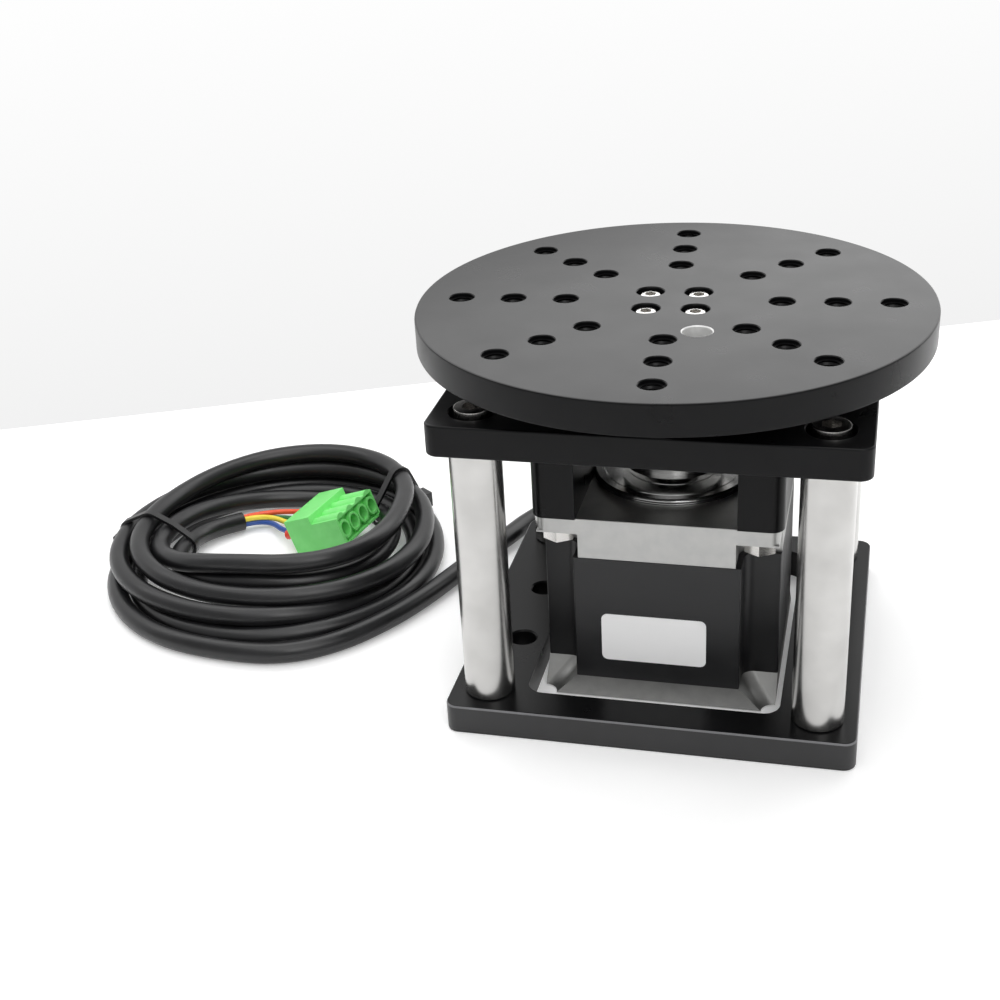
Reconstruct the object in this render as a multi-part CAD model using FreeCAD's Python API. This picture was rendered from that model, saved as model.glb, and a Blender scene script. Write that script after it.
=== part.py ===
import FreeCAD, Part
import math
import os

# A rotary table driven by a stepper motor, in millimetres, with +Z up.
# The origin is the centre of the base plate's underside, which stands on the bench.
# The motor stands in the base plate's window, hangs by its flange from the bracket
# and turns the round table through a hub that runs in two deep-groove bearings.

# Base plate, posts and top plate
PLATE_SIDE = 96.0
PLATE_CORNER = 3.0
PLATE_CHAMFER = 0.5
BASE_THICKNESS = 7.5
TOP_THICKNESS = 7.5
WINDOW_SIDE_GAP = 1.8
WINDOW_END_GAP = 10.8
WINDOW_CORNER = 4.0
MOUNTING_HOLE_RADIUS = 3.3
MOUNTING_CHAMFER = 0.4
MOUNTING_SPACING_X = 72.0
MOUNTING_SPACING_Y = 25.0
MOUNTING_CENTRE_Y = -3.0
POST_RADIUS = 6.0
POST_LENGTH = 65.5
POST_INSET = 9.25
POST_CHAMFER = 0.5
POST_TAP_DEPTH = 14.0

# Screws: radius of the shank, radius and height of the head, flats of the socket
M3_RADIUS = 1.5
M3_HEAD_RADIUS = 2.75
M3_HEAD_HEIGHT = 3.0
M3_SOCKET = 2.5
M4_RADIUS = 2.0
M4_HEAD_RADIUS = 3.5
M4_HEAD_HEIGHT = 4.0
M4_SOCKET = 3.0
M4_NUT_FLATS = 7.0
M4_NUT_HEIGHT = 3.2
M5_RADIUS = 2.5
M5_HEAD_RADIUS = 4.25
M5_HEAD_HEIGHT = 5.0
M5_SOCKET = 4.0
HEAD_CHAMFER = 0.3
SHANK_CLEARANCE = 0.25
HEAD_CLEARANCE = 0.55
SOCKET_SHARE = 0.5

# Corner screws of the plates
TOP_COUNTERBORE_DEPTH = 3.8
TOP_COUNTERBORE_RADIUS = 5.4
BASE_COUNTERBORE_DEPTH = 5.2
POST_SCREW_LENGTH = 14.0

# Round table
DISC_RADIUS = 60.0
DISC_THICKNESS = 7.5
DISC_GAP = 5.5
DISC_CHAMFER = 0.5
DISC_HOLE_RADIUS = 2.5
DISC_HOLE_CHAMFER = 0.4
DISC_HOLE_CIRCLES = (25.0, 37.5, 50.0)
DISC_HOLE_LINES = 8
DISC_TURN = 3.3
HUB_SCREW_CIRCLE = 8.0
HUB_SCREW_LENGTH = 8.0
HUB_COUNTERBORE_DEPTH = 3.4
ACCESS_HOLE_RADIUS = 3.4
ACCESS_HOLE_ANGLE = -67.0

# Hub and shaft clamp
HUB_SPIGOT_RADIUS = 6.0
HUB_SPIGOT_HEIGHT = 2.0
HUB_FLANGE_RADIUS = 17.0
HUB_FLANGE_THICKNESS = 3.2
HUB_NECK_RADIUS = 12.0
HUB_SLEEVE_RADIUS = 7.0
HUB_SLEEVE_LENGTH = 7.2
HUB_SHOULDER_RISE = 0.2
HUB_SLOT_WIDTH = 1.0
CLAMP_RADIUS = 12.0
CLAMP_HEIGHT = 7.0
CLAMP_SPLIT = 1.2
CLAMP_SCREW_OFFSET = 9.2
CLAMP_SCREW_LENGTH = 12.0
CLAMP_LUG_FLAT = 6.0

# Big bearings of the hub
BEARING_BORE = 10.0
BEARING_OUTER = 16.0
BEARING_HEIGHT = 7.0
BEARING_BALL = 1.6
BEARING_BALLS = 10
SEAT_LIP_THICKNESS = 0.5
SEAT_LIP_RADIUS = 14.0
SPACER_WALL = 1.6

# Small bearings of the motor
MOTOR_BEARING_OUTER = 11.0
MOTOR_BEARING_BALL = 2.0
MOTOR_BEARING_BALLS = 7
MOTOR_BEARING_HEIGHT = 7.0
RACE_CLEARANCE = 0.06
SHOULDER_SHARE = 0.6
CAGE_WALL_SHARE = 0.7
CAGE_HEIGHT_SHARE = 2.4

# Ring that holds the upper bearing down
RETAINER_RADIUS = 24.0
RETAINER_BORE = 14.5
RETAINER_THICKNESS = 2.0
RETAINER_CIRCLE = 21.0
RETAINER_SCREW_COUNT = 4
RETAINER_SCREW_LENGTH = 5.0
BUTTON_HEAD_HEIGHT = 1.65

# Bracket under the top plate
BRACKET_SIDE = 58.4
BRACKET_CORNER = 3.0
BRACKET_HEIGHT = 23.5
BRACKET_SLOT_HALF = 18.7
BRACKET_SLOT_HEIGHT = 16.5
BRACKET_BOSS_RADIUS = 21.0
BRACKET_BOSS_DROP = 6.0
BRACKET_PILOT_DEPTH = 2.0
BRACKET_PILOT_CLEARANCE = 0.05

# Motor
FLANGE_SIDE = 56.4
FLANGE_CORNER = 4.0
FLANGE_THICKNESS = 4.1
FLANGE_HOLE_PITCH = 47.14
PILOT_RADIUS = 19.05
PILOT_HEIGHT = 1.6
PILOT_GROOVE = 0.3
SKIRT_ARM = 18.4
SKIRT_HEIGHT = 6.3
STATOR_ARM = 19.7
STATOR_LENGTH = 32.9
NOTCH_FILLET = 3.0
REAR_CAP_HEIGHT = 5.7
REAR_CAP_FLOOR = 1.4
REAR_CAP_FOOT_ARM = 25.0
CAP_CAVITY_RADIUS = 23.2
BEARING_WALL = 2.5
LIP_HOLE_RADIUS = 5.5
WASHER_HEIGHT = 0.6
SHAFT_RADIUS = 4.0
SHAFT_TOP_CHAMFER = 0.5
SHAFT_REACH = 19.4
MOTOR_SCREW_LENGTH = 35.0
TIE_SCREW_PLACE = 17.9
TIE_SCREW_HEAD_HEIGHT = 1.2
TIE_SCREW_BITE = 2.0
TIE_SCREW_CLEARANCE = 0.1

# Stator and rotor
POLES = 8
POLE_TEETH = 6
ROTOR_TEETH = 50
ROTOR_RADIUS = 17.0
AIR_GAP = 0.2
TOOTH_DEPTH = 0.9
TOOTH_SHARE = 0.45
TOOTH_PITCH_STATOR = 7.2
SHOE_THICKNESS = 1.5
SLOT_RADIUS = 24.4
NECK_WIDTH = 6.0
COIL_GAP = 0.15
WINDING_INNER = 20.0
WINDING_DEPTH = 1.9
WINDING_WIDTH = 13.2
WINDING_OVERHANG = 3.4
WINDING_FILLET = 0.8
CUP_LENGTH = 13.0
MAGNET_LENGTH = 2.0
MAGNET_RADIUS = 15.0
ROTOR_START = 4.8

# Label on the motor's front
LABEL_WIDTH = 25.0
LABEL_HEIGHT = 12.7
LABEL_CORNER = 1.5
LABEL_THICKNESS = 0.15
LABEL_CENTRE_X = -0.7
LABEL_CENTRE_Z = 18.0

# Cable, from the motor's back round the rear left corner of the base plate to the coil
CABLE_RADIUS = 2.75
GROMMET_X = 15.0
GROMMET_Z = 11.5
GROMMET_WIDTH = 11.0
GROMMET_HEIGHT = 13.0
GROMMET_DEPTH = 3.0
GROMMET_CORNER = 2.0
SLEEVE_BASE_RADIUS = 4.5
SLEEVE_TIP_RADIUS = 3.5
SLEEVE_LENGTH = 10.0
CABLE_ROUTE = [
    (15.0, 41.2, 11.5),
    (15.0, 54.2, 11.5),
    (8.4, 66.1, 10.6),
    (-3.3, 74.6, 8.8),
    (-17.6, 76.9, 6.8),
    (-31.4, 72.4, 5.2),
    (-42.5, 64.0, 4.3),
    (-50.0, 54.0, 3.8),
    (-54.5, 43.0, 3.4),
    (-59.4, 32.3, 3.1),
    (-64.5, 20.0, 2.8),
    (-69.0, 8.0, 2.75),
    (-75.5, -5.0, 2.75),
    (-85.0, -18.0, 2.75),
    (-98.0, -26.5, 2.75),
    (-113.0, -28.0, 2.75),
]

# Coil of the spare cable: centre, and where each turn lies as (radius, height)
# over the front, the left, the back and the right of the ring
COIL_X = -115.5
COIL_Y = 22.0
COIL_STATIONS = 24
COIL_LAYS = [
    [(49.3, 2.75), (49.5, 3.8), (49.0, 3.8), (41.8, 3.8)],
    [(43.0, 2.9), (43.8, 3.8), (43.3, 3.8), (36.2, 3.9)],
    [(37.3, 2.9), (46.7, 8.7), (46.5, 8.7), (39.2, 8.8)],
    [(34.6, 7.8), (40.9, 8.7), (47.4, 13.6), (33.5, 8.9)],
    [(29.3, 6.4), (38.0, 3.9), (38.4, 4.2), (30.5, 3.6)],
    [(24.5, 13.0)],
]
OUTLINE_SIDES = 12
BEND_SHARE = 0.45
CABLE_TAIL = [
    (-112.5, -2.0, 13.0),
    (-122.5, -4.4, 13.0),
    (-131.8, -2.8, 12.0),
    (-139.6, 3.2, 10.4),
    (-144.6, 12.4, 8.6),
    (-145.6, 22.6, 6.8),
    (-142.0, 32.2, 5.2),
    (-137.4, 37.6, 4.4),
    (-132.2, 40.4, 4.0),
]
TIE_WIDTH = 2.6
TIE_THICKNESS = 1.0
TIE_HEAD = 4.6
TIE_HEAD_HEIGHT = 3.2
TIE_HEAD_Z = 2.4
SHORTEST_EDGE = 0.1
LEFT_TIE_ANGLE = 180.0
RIGHT_TIE_ANGLE = 52.0

# Pluggable terminal block at the cable's end, screws down, tilted with its tail on the bench
POLE_PITCH = 5.08
BLOCK_POLES = 4
BLOCK_WIDTH = 20.3
BLOCK_REAR_DEPTH = 9.3
BLOCK_PLUG_DEPTH = 9.2
BLOCK_HEIGHT = 11.0
BLOCK_STEP = 1.7
BLOCK_RIDGE_RADIUS = 2.1
BLOCK_RIDGE_RISE = 0.8
BLOCK_SOCKET_RADIUS = 1.3
BLOCK_SOCKET_DEPTH = 7.0
BLOCK_RIM_RADIUS = 2.0
BLOCK_RIM_DEPTH = 0.5
BLOCK_ENTRY = 3.4
BLOCK_ENTRY_DEPTH = 5.0
BLOCK_ENTRY_Z = 6.2
BLOCK_SCREW_RADIUS = 1.6
BLOCK_SCREW_SINK = 1.2
BLOCK_SCREW_HEIGHT = 3.0
BLOCK_SLOT_WIDTH = 0.6
BLOCK_TILT = 21.0
BLOCK_YAW = -11.0
BLOCK_TAIL = (-114.2, 29.0, 0.0)

# The four wires between the jacket's end and the terminal block
WIRE_RADIUS = 0.8
WIRE_NAMES = ("blue", "yellow", "green", "red")
WIRE_STARTS = ((-1.0, -1.0), (-1.0, 1.0), (1.0, 1.0), (1.0, -1.0))
WIRE_HALFWAY = 0.4

CUT = 1.0
V = FreeCAD.Vector
UP = V(0, 0, 1)

# Places and heights that follow from the sizes above
WINDOW_WIDTH = FLANGE_SIDE + 2 * WINDOW_SIDE_GAP
WINDOW_DEPTH = FLANGE_SIDE + 2 * WINDOW_END_GAP
POST_PITCH = PLATE_SIDE - 2 * POST_INSET
POST_BOTTOM = BASE_THICKNESS
TOP_UNDERSIDE = POST_BOTTOM + POST_LENGTH
TOP_FACE = TOP_UNDERSIDE + TOP_THICKNESS
DISC_UNDERSIDE = TOP_FACE + DISC_GAP
DISC_FACE = DISC_UNDERSIDE + DISC_THICKNESS
HUB_FLANGE_BOTTOM = DISC_UNDERSIDE - HUB_FLANGE_THICKNESS
UPPER_BEARING_BOTTOM = TOP_FACE - BEARING_HEIGHT
BRACKET_BOTTOM = TOP_UNDERSIDE - BRACKET_HEIGHT
BRACKET_SHOULDER = TOP_UNDERSIDE - BRACKET_BOSS_DROP
LOWER_BEARING_BOTTOM = BRACKET_SHOULDER - BEARING_HEIGHT
HUB_SLEEVE_TOP = LOWER_BEARING_BOTTOM + HUB_SHOULDER_RISE
HUB_BOTTOM = HUB_SLEEVE_TOP - HUB_SLEEVE_LENGTH
FLANGE_BOTTOM = BRACKET_BOTTOM - FLANGE_THICKNESS
SKIRT_BOTTOM = FLANGE_BOTTOM - SKIRT_HEIGHT
STATOR_BOTTOM = SKIRT_BOTTOM - STATOR_LENGTH
REAR_CAP_BOTTOM = STATOR_BOTTOM - REAR_CAP_HEIGHT


def cylinder(radius, bottom, top, x=0.0, y=0.0):
    return Part.makeCylinder(radius, top - bottom, V(x, y, bottom))


def ring(outer, inner, bottom, top, x=0.0, y=0.0):
    return cylinder(outer, bottom, top, x, y).cut(cylinder(inner, bottom - CUT, top + CUT, x, y))


def turned(corners):
    """Solid of revolution about the Z axis from (radius, height) corners."""
    points = [V(radius, 0, height) for radius, height in corners]
    face = Part.Face(Part.makePolygon(points + points[:1]))
    return face.revolve(V(0, 0, 0), UP, 360)


def moved(shape, x, y, z=0.0):
    copy = shape.copy()
    copy.translate(V(x, y, z))
    return copy


def rotated(shape, degrees):
    copy = shape.copy()
    copy.rotate(V(0, 0, 0), UP, degrees)
    return copy


def prism(corners, bottom, top):
    """Upright prism over a flat outline of (x, y) corners."""
    points = [V(x, y, bottom) for x, y in corners]
    face = Part.Face(Part.makePolygon(points + points[:1]))
    return face.extrude(UP * (top - bottom))


def upright_edges(shape):
    return [edge for edge in shape.Edges
            if edge.Curve.TypeId == "Part::GeomLine" and abs(edge.tangentAt(edge.FirstParameter).z) > 0.99]


def rounded_block(width, depth, corner, bottom, top, x=0.0, y=0.0):
    block = Part.makeBox(width, depth, top - bottom, V(x - width / 2, y - depth / 2, bottom))
    return block.makeFillet(corner, upright_edges(block))


def four_corners(half_x, half_y=None):
    half_y = half_x if half_y is None else half_y
    return [(sign_x * half_x, sign_y * half_y) for sign_x in (-1, 1) for sign_y in (-1, 1)]


def on_circle(radius, count, first=0.0):
    angles = [math.radians(first + index * 360.0 / count) for index in range(count)]
    return [(radius * math.cos(angle), radius * math.sin(angle)) for angle in angles]


def hexagon(flats, bottom, top):
    radius = flats / 2 / math.cos(math.pi / 6)
    return prism(on_circle(radius, 6), bottom, top)


def cap_screw(shank, length, head, head_height, socket):
    """Socket screw standing on its head's underside at z = 0, with the shank below."""
    body = turned([(0, -length), (shank, -length), (shank, 0), (head, 0),
                   (head, head_height - HEAD_CHAMFER), (head - HEAD_CHAMFER, head_height), (0, head_height)])
    return body.cut(hexagon(socket, head_height * (1 - SOCKET_SHARE), head_height + CUT))


def upside_down(shape):
    copy = shape.copy()
    copy.rotate(V(0, 0, 0), V(1, 0, 0), 180)
    return copy


def m5_screw():
    return cap_screw(M5_RADIUS, POST_SCREW_LENGTH, M5_HEAD_RADIUS, M5_HEAD_HEIGHT, M5_SOCKET)


def post_places():
    return four_corners(POST_PITCH / 2)


def flange_hole_places():
    return four_corners(FLANGE_HOLE_PITCH / 2)


def plate_block(bottom, top):
    """Square plate with rounded corners and a small bevel round both faces."""
    block = rounded_block(PLATE_SIDE, PLATE_SIDE, PLATE_CORNER, bottom, top)
    rims = [edge for edge in block.Edges
            if abs(edge.BoundBox.ZMax - edge.BoundBox.ZMin) < PLATE_CHAMFER]
    return block.makeChamfer(PLATE_CHAMFER, rims)


def hole_tool(radius, bottom, top, chamfer):
    """Cutter of a through hole with both rims bevelled."""
    rim = radius + chamfer
    return turned([(0, bottom - CUT), (rim, bottom - CUT), (rim, bottom), (radius, bottom + chamfer),
                   (radius, top - chamfer), (rim, top), (rim, top + CUT), (0, top + CUT)])


def base_plate():
    plate = plate_block(0, BASE_THICKNESS)
    cutters = [rounded_block(WINDOW_WIDTH, WINDOW_DEPTH, WINDOW_CORNER, -CUT, BASE_THICKNESS + CUT)]
    hole = hole_tool(MOUNTING_HOLE_RADIUS, 0, BASE_THICKNESS, MOUNTING_CHAMFER)
    for x, y in four_corners(MOUNTING_SPACING_X / 2, MOUNTING_SPACING_Y / 2):
        cutters.append(moved(hole, x, y + MOUNTING_CENTRE_Y))
    for x, y in post_places():
        cutters.append(cylinder(M5_RADIUS + SHANK_CLEARANCE, -CUT, BASE_THICKNESS + CUT, x, y))
        cutters.append(cylinder(M5_HEAD_RADIUS + HEAD_CLEARANCE, -CUT, BASE_COUNTERBORE_DEPTH, x, y))
    return plate.cut(cutters)


def post():
    """Turned post at the origin, tapped at both ends."""
    shell = turned([(0, 0), (POST_RADIUS - POST_CHAMFER, 0), (POST_RADIUS, POST_CHAMFER),
                    (POST_RADIUS, POST_LENGTH - POST_CHAMFER), (POST_RADIUS - POST_CHAMFER, POST_LENGTH),
                    (0, POST_LENGTH)])
    taps = [cylinder(M5_RADIUS, -CUT, POST_TAP_DEPTH),
            cylinder(M5_RADIUS, POST_LENGTH - POST_TAP_DEPTH, POST_LENGTH + CUT)]
    return shell.cut(taps)


def top_plate():
    plate = plate_block(TOP_UNDERSIDE, TOP_FACE)
    cutters = [cylinder(BEARING_OUTER, UPPER_BEARING_BOTTOM, TOP_FACE + CUT),
               cylinder(SEAT_LIP_RADIUS, TOP_UNDERSIDE - CUT, TOP_FACE)]
    for x, y in post_places():
        cutters.append(cylinder(M5_RADIUS + SHANK_CLEARANCE, TOP_UNDERSIDE - CUT, TOP_FACE + CUT, x, y))
        cutters.append(cylinder(TOP_COUNTERBORE_RADIUS, TOP_FACE - TOP_COUNTERBORE_DEPTH, TOP_FACE + CUT, x, y))
    for x, y in flange_hole_places():
        cutters.append(cylinder(M4_RADIUS + SHANK_CLEARANCE, TOP_UNDERSIDE - CUT, TOP_FACE + CUT, x, y))
        cutters.append(cylinder(M4_HEAD_RADIUS + HEAD_CLEARANCE, TOP_FACE - M4_HEAD_HEIGHT, TOP_FACE + CUT, x, y))
    for x, y in on_circle(RETAINER_CIRCLE, RETAINER_SCREW_COUNT):
        cutters.append(cylinder(M3_RADIUS, TOP_UNDERSIDE - CUT, TOP_FACE + CUT, x, y))
    return plate.cut(cutters)


def top_post_screws():
    return [moved(m5_screw(), x, y, TOP_FACE - TOP_COUNTERBORE_DEPTH) for x, y in post_places()]


def bottom_post_screws():
    screw = upside_down(m5_screw())
    return [moved(screw, x, y, BASE_COUNTERBORE_DEPTH) for x, y in post_places()]


def motor_bracket():
    """Black block that carries the motor and the lower bearing, open from front to back."""
    block = rounded_block(BRACKET_SIDE, BRACKET_SIDE, BRACKET_CORNER, BRACKET_BOTTOM, TOP_UNDERSIDE)
    slot_top = BRACKET_BOTTOM + BRACKET_SLOT_HEIGHT
    slot = Part.makeBox(2 * BRACKET_SLOT_HALF, BRACKET_SIDE + 2 * CUT, BRACKET_SLOT_HEIGHT + CUT,
                        V(-BRACKET_SLOT_HALF, -BRACKET_SIDE / 2 - CUT, BRACKET_BOTTOM - CUT))
    boss = cylinder(BRACKET_BOSS_RADIUS, LOWER_BEARING_BOTTOM, slot_top + CUT)
    block = block.cut(slot).fuse(boss)
    pilot = PILOT_RADIUS + BRACKET_PILOT_CLEARANCE
    cutters = [cylinder(pilot, BRACKET_BOTTOM - CUT, BRACKET_BOTTOM + BRACKET_PILOT_DEPTH),
               cylinder(BEARING_OUTER, LOWER_BEARING_BOTTOM - CUT, BRACKET_SHOULDER),
               cylinder(SEAT_LIP_RADIUS, BRACKET_SHOULDER - CUT, TOP_UNDERSIDE + CUT)]
    for x, y in flange_hole_places():
        cutters.append(cylinder(M4_RADIUS + SHANK_CLEARANCE, BRACKET_BOTTOM - CUT, TOP_UNDERSIDE + CUT, x, y))
    return block.cut(cutters).removeSplitter()


def motor_screws():
    screw = cap_screw(M4_RADIUS, MOTOR_SCREW_LENGTH, M4_HEAD_RADIUS, M4_HEAD_HEIGHT, M4_SOCKET)
    return [moved(screw, x, y, TOP_FACE - M4_HEAD_HEIGHT) for x, y in flange_hole_places()]


def flange_nuts():
    nut = hexagon(M4_NUT_FLATS, FLANGE_BOTTOM - M4_NUT_HEIGHT, FLANGE_BOTTOM)
    nut = nut.cut(cylinder(M4_RADIUS, FLANGE_BOTTOM - M4_NUT_HEIGHT - CUT, FLANGE_BOTTOM + CUT))
    return [moved(nut, x, y) for x, y in flange_hole_places()]


def notched_wire(arm, height):
    """Square outline with a filleted square notch in each corner, at one height."""
    half = FLANGE_SIDE / 2
    round_start = arm + NOTCH_FILLET
    bend = arm + NOTCH_FILLET * (1 - math.sqrt(0.5))
    edges = []
    for quarter in range(4):
        turn = FreeCAD.Rotation(UP, 90.0 * quarter)
        side = [V(half, -arm, height), V(half, arm, height), V(round_start, arm, height),
                V(bend, bend, height), V(arm, round_start, height), V(arm, half, height)]
        side = [turn.multVec(point) for point in side]
        edges.append(Part.LineSegment(side[0], side[1]).toShape())
        edges.append(Part.LineSegment(side[1], side[2]).toShape())
        edges.append(Part.Arc(side[2], side[3], side[4]).toShape())
        edges.append(Part.LineSegment(side[4], side[5]).toShape())
    return Part.Wire(edges)


def notched_block(arm, bottom, top):
    return Part.Face(notched_wire(arm, bottom)).extrude(UP * (top - bottom))


def motor_front_cap():
    """Square flange, pilot and skirt, with the seat of the front bearing inside."""
    ears = rounded_block(FLANGE_SIDE, FLANGE_SIDE, FLANGE_CORNER, FLANGE_BOTTOM, BRACKET_BOTTOM)
    skirt = notched_block(SKIRT_ARM, SKIRT_BOTTOM, FLANGE_BOTTOM)
    pilot_top = BRACKET_BOTTOM + PILOT_HEIGHT
    pilot = cylinder(PILOT_RADIUS, BRACKET_BOTTOM, pilot_top)
    cavity_top = FLANGE_BOTTOM + FLANGE_THICKNESS - MOTOR_BEARING_HEIGHT / 2
    boss_bottom = pilot_top - SEAT_LIP_THICKNESS * 2 - MOTOR_BEARING_HEIGHT
    cavity = ring(CAP_CAVITY_RADIUS, MOTOR_BEARING_OUTER + BEARING_WALL, SKIRT_BOTTOM - CUT, cavity_top)
    boss_end = cylinder(MOTOR_BEARING_OUTER + BEARING_WALL + CUT, SKIRT_BOTTOM - CUT, boss_bottom)
    seat = cylinder(MOTOR_BEARING_OUTER, boss_bottom - CUT, boss_bottom + MOTOR_BEARING_HEIGHT)
    shaft_hole = cylinder(LIP_HOLE_RADIUS, boss_bottom, pilot_top + CUT)
    grooves = [ring(radius + PILOT_GROOVE, radius, pilot_top - PILOT_GROOVE, pilot_top + CUT)
               for radius in (LIP_HOLE_RADIUS * 2, LIP_HOLE_RADIUS * 3)]
    cutters = [cavity, boss_end, seat, shaft_hole] + grooves
    for x, y in flange_hole_places():
        cutters.append(cylinder(M4_RADIUS + SHANK_CLEARANCE, FLANGE_BOTTOM - CUT, BRACKET_BOTTOM + CUT, x, y))
    for x, y in tie_screw_places():
        cutters.append(cylinder(M3_RADIUS, SKIRT_BOTTOM - CUT, FLANGE_BOTTOM + TIE_SCREW_BITE, x, y))
    return ears.fuse([skirt, pilot]).removeSplitter().cut(cutters)


def front_bearing_bottom():
    return BRACKET_BOTTOM + PILOT_HEIGHT - 2 * SEAT_LIP_THICKNESS - MOTOR_BEARING_HEIGHT


def rear_bearing_bottom():
    return REAR_CAP_BOTTOM + REAR_CAP_FLOOR + WASHER_HEIGHT


def motor_rear_cap():
    """Cast cap whose corner recesses run out towards the bottom."""
    upper = notched_wire(STATOR_ARM, STATOR_BOTTOM)
    lower = notched_wire(REAR_CAP_FOOT_ARM, REAR_CAP_BOTTOM)
    cap = Part.makeLoft([lower, upper], True, True)
    floor = REAR_CAP_BOTTOM + REAR_CAP_FLOOR
    boss_top = rear_bearing_bottom() + MOTOR_BEARING_HEIGHT
    boss_radius = MOTOR_BEARING_OUTER + BEARING_WALL
    cap = cap.cut(cylinder(CAP_CAVITY_RADIUS, floor, STATOR_BOTTOM + CUT))
    cap = cap.fuse(cylinder(boss_radius, floor, boss_top))
    cutters = [cylinder(MOTOR_BEARING_OUTER, floor, boss_top + CUT)]
    for x, y in tie_screw_places():
        hole = M3_RADIUS + TIE_SCREW_CLEARANCE
        cutters.append(cylinder(hole, REAR_CAP_BOTTOM - CUT, STATOR_BOTTOM + CUT, x, y))
        cutters.append(cylinder(M3_HEAD_RADIUS + SHANK_CLEARANCE, REAR_CAP_BOTTOM - CUT,
                                tie_screw_seat(), x, y))
    return cap.cut(cutters)


def tie_screw_places():
    return four_corners(TIE_SCREW_PLACE)


def tie_screw_seat():
    return REAR_CAP_BOTTOM + TIE_SCREW_HEAD_HEIGHT + TIE_SCREW_CLEARANCE


def motor_tie_screws():
    top = FLANGE_BOTTOM + TIE_SCREW_BITE
    seat = tie_screw_seat()
    screw = upside_down(cap_screw(M3_RADIUS, top - seat, M3_HEAD_RADIUS, TIE_SCREW_HEAD_HEIGHT, M3_SOCKET))
    return [moved(screw, x, y, seat) for x, y in tie_screw_places()]


def polar(radius, degrees):
    angle = math.radians(degrees)
    return (radius * math.cos(angle), radius * math.sin(angle))


def pole_shoe(middle):
    """Foot of one pole, whose inner face carries the small teeth."""
    tip = ROTOR_RADIUS + AIR_GAP
    root = tip + TOOTH_DEPTH
    half_tooth = TOOTH_PITCH_STATOR * TOOTH_SHARE / 2
    corners = []
    for tooth in range(POLE_TEETH):
        centre = middle + (tooth - (POLE_TEETH - 1) / 2) * TOOTH_PITCH_STATOR
        corners.append(polar(root, centre - half_tooth))
        corners.append(polar(tip, centre - half_tooth))
        corners.append(polar(tip, centre + half_tooth))
        corners.append(polar(root, centre + half_tooth))
    reach = POLE_TEETH * TOOTH_PITCH_STATOR / 2 - half_tooth
    for step in (1.0, 0.5, 0.0, -0.5, -1.0):
        corners.append(polar(root + SHOE_THICKNESS, middle + step * reach))
    return prism(corners, STATOR_BOTTOM, SKIRT_BOTTOM)


def pole_neck(middle):
    start = ROTOR_RADIUS + AIR_GAP + TOOTH_DEPTH + SHOE_THICKNESS / 2
    neck = Part.makeBox(SLOT_RADIUS + SHOE_THICKNESS / 2 - start, NECK_WIDTH, STATOR_LENGTH,
                        V(start, -NECK_WIDTH / 2, STATOR_BOTTOM))
    return rotated(neck, middle)


def motor_stator():
    """Laminated stack: a notched yoke with eight poles whose feet are toothed."""
    yoke = notched_block(STATOR_ARM, STATOR_BOTTOM, SKIRT_BOTTOM)
    yoke = yoke.cut(cylinder(SLOT_RADIUS, STATOR_BOTTOM - CUT, SKIRT_BOTTOM + CUT))
    middles = [pole * 360.0 / POLES for pole in range(POLES)]
    poles = [pole_neck(middle) for middle in middles] + [pole_shoe(middle) for middle in middles]
    holes = [cylinder(M3_RADIUS + TIE_SCREW_CLEARANCE, STATOR_BOTTOM - CUT, SKIRT_BOTTOM + CUT, x, y)
             for x, y in tie_screw_places()]
    return yoke.fuse(poles).cut(holes)


def motor_windings():
    """One coil round the neck of each pole."""
    inner_width = NECK_WIDTH + 2 * COIL_GAP
    bottom = STATOR_BOTTOM - WINDING_OVERHANG
    height = STATOR_LENGTH + 2 * WINDING_OVERHANG
    outer = Part.makeBox(WINDING_DEPTH, WINDING_WIDTH, height, V(WINDING_INNER, -WINDING_WIDTH / 2, bottom))
    along = [edge for edge in outer.Edges if abs(edge.tangentAt(edge.FirstParameter).x) > 0.99]
    outer = outer.makeFillet(WINDING_FILLET, along)
    inner = Part.makeBox(WINDING_DEPTH + 2 * CUT, inner_width, STATOR_LENGTH + 2 * COIL_GAP,
                         V(WINDING_INNER - CUT, -inner_width / 2, STATOR_BOTTOM - COIL_GAP))
    coil = outer.cut(inner)
    return [rotated(coil, pole * 360.0 / POLES) for pole in range(POLES)]


def rotor_cup(bottom, turn):
    """Toothed iron cup pressed on the shaft."""
    pitch = 360.0 / ROTOR_TEETH
    half_tooth = pitch * TOOTH_SHARE / 2
    corners = []
    for tooth in range(ROTOR_TEETH):
        centre = turn + tooth * pitch
        corners.append(polar(ROTOR_RADIUS - TOOTH_DEPTH, centre - half_tooth))
        corners.append(polar(ROTOR_RADIUS, centre - half_tooth))
        corners.append(polar(ROTOR_RADIUS, centre + half_tooth))
        corners.append(polar(ROTOR_RADIUS - TOOTH_DEPTH, centre + half_tooth))
    cup = prism(corners, bottom, bottom + CUP_LENGTH)
    return cup.cut(cylinder(SHAFT_RADIUS, bottom - CUT, bottom + CUP_LENGTH + CUT))


def rotor_bottom():
    return STATOR_BOTTOM + ROTOR_START


def rotor_rear_cup():
    return rotor_cup(rotor_bottom(), 0.0)


def rotor_front_cup():
    return rotor_cup(rotor_bottom() + CUP_LENGTH + MAGNET_LENGTH, 180.0 / ROTOR_TEETH)


def rotor_magnet():
    bottom = rotor_bottom() + CUP_LENGTH
    return ring(MAGNET_RADIUS, SHAFT_RADIUS, bottom, bottom + MAGNET_LENGTH)


def motor_shaft():
    bottom = rear_bearing_bottom()
    top = BRACKET_BOTTOM + PILOT_HEIGHT + SHAFT_REACH
    return turned([(0, bottom), (SHAFT_RADIUS, bottom), (SHAFT_RADIUS, top - SHAFT_TOP_CHAMFER),
                   (SHAFT_RADIUS - SHAFT_TOP_CHAMFER, top), (0, top)])


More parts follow.
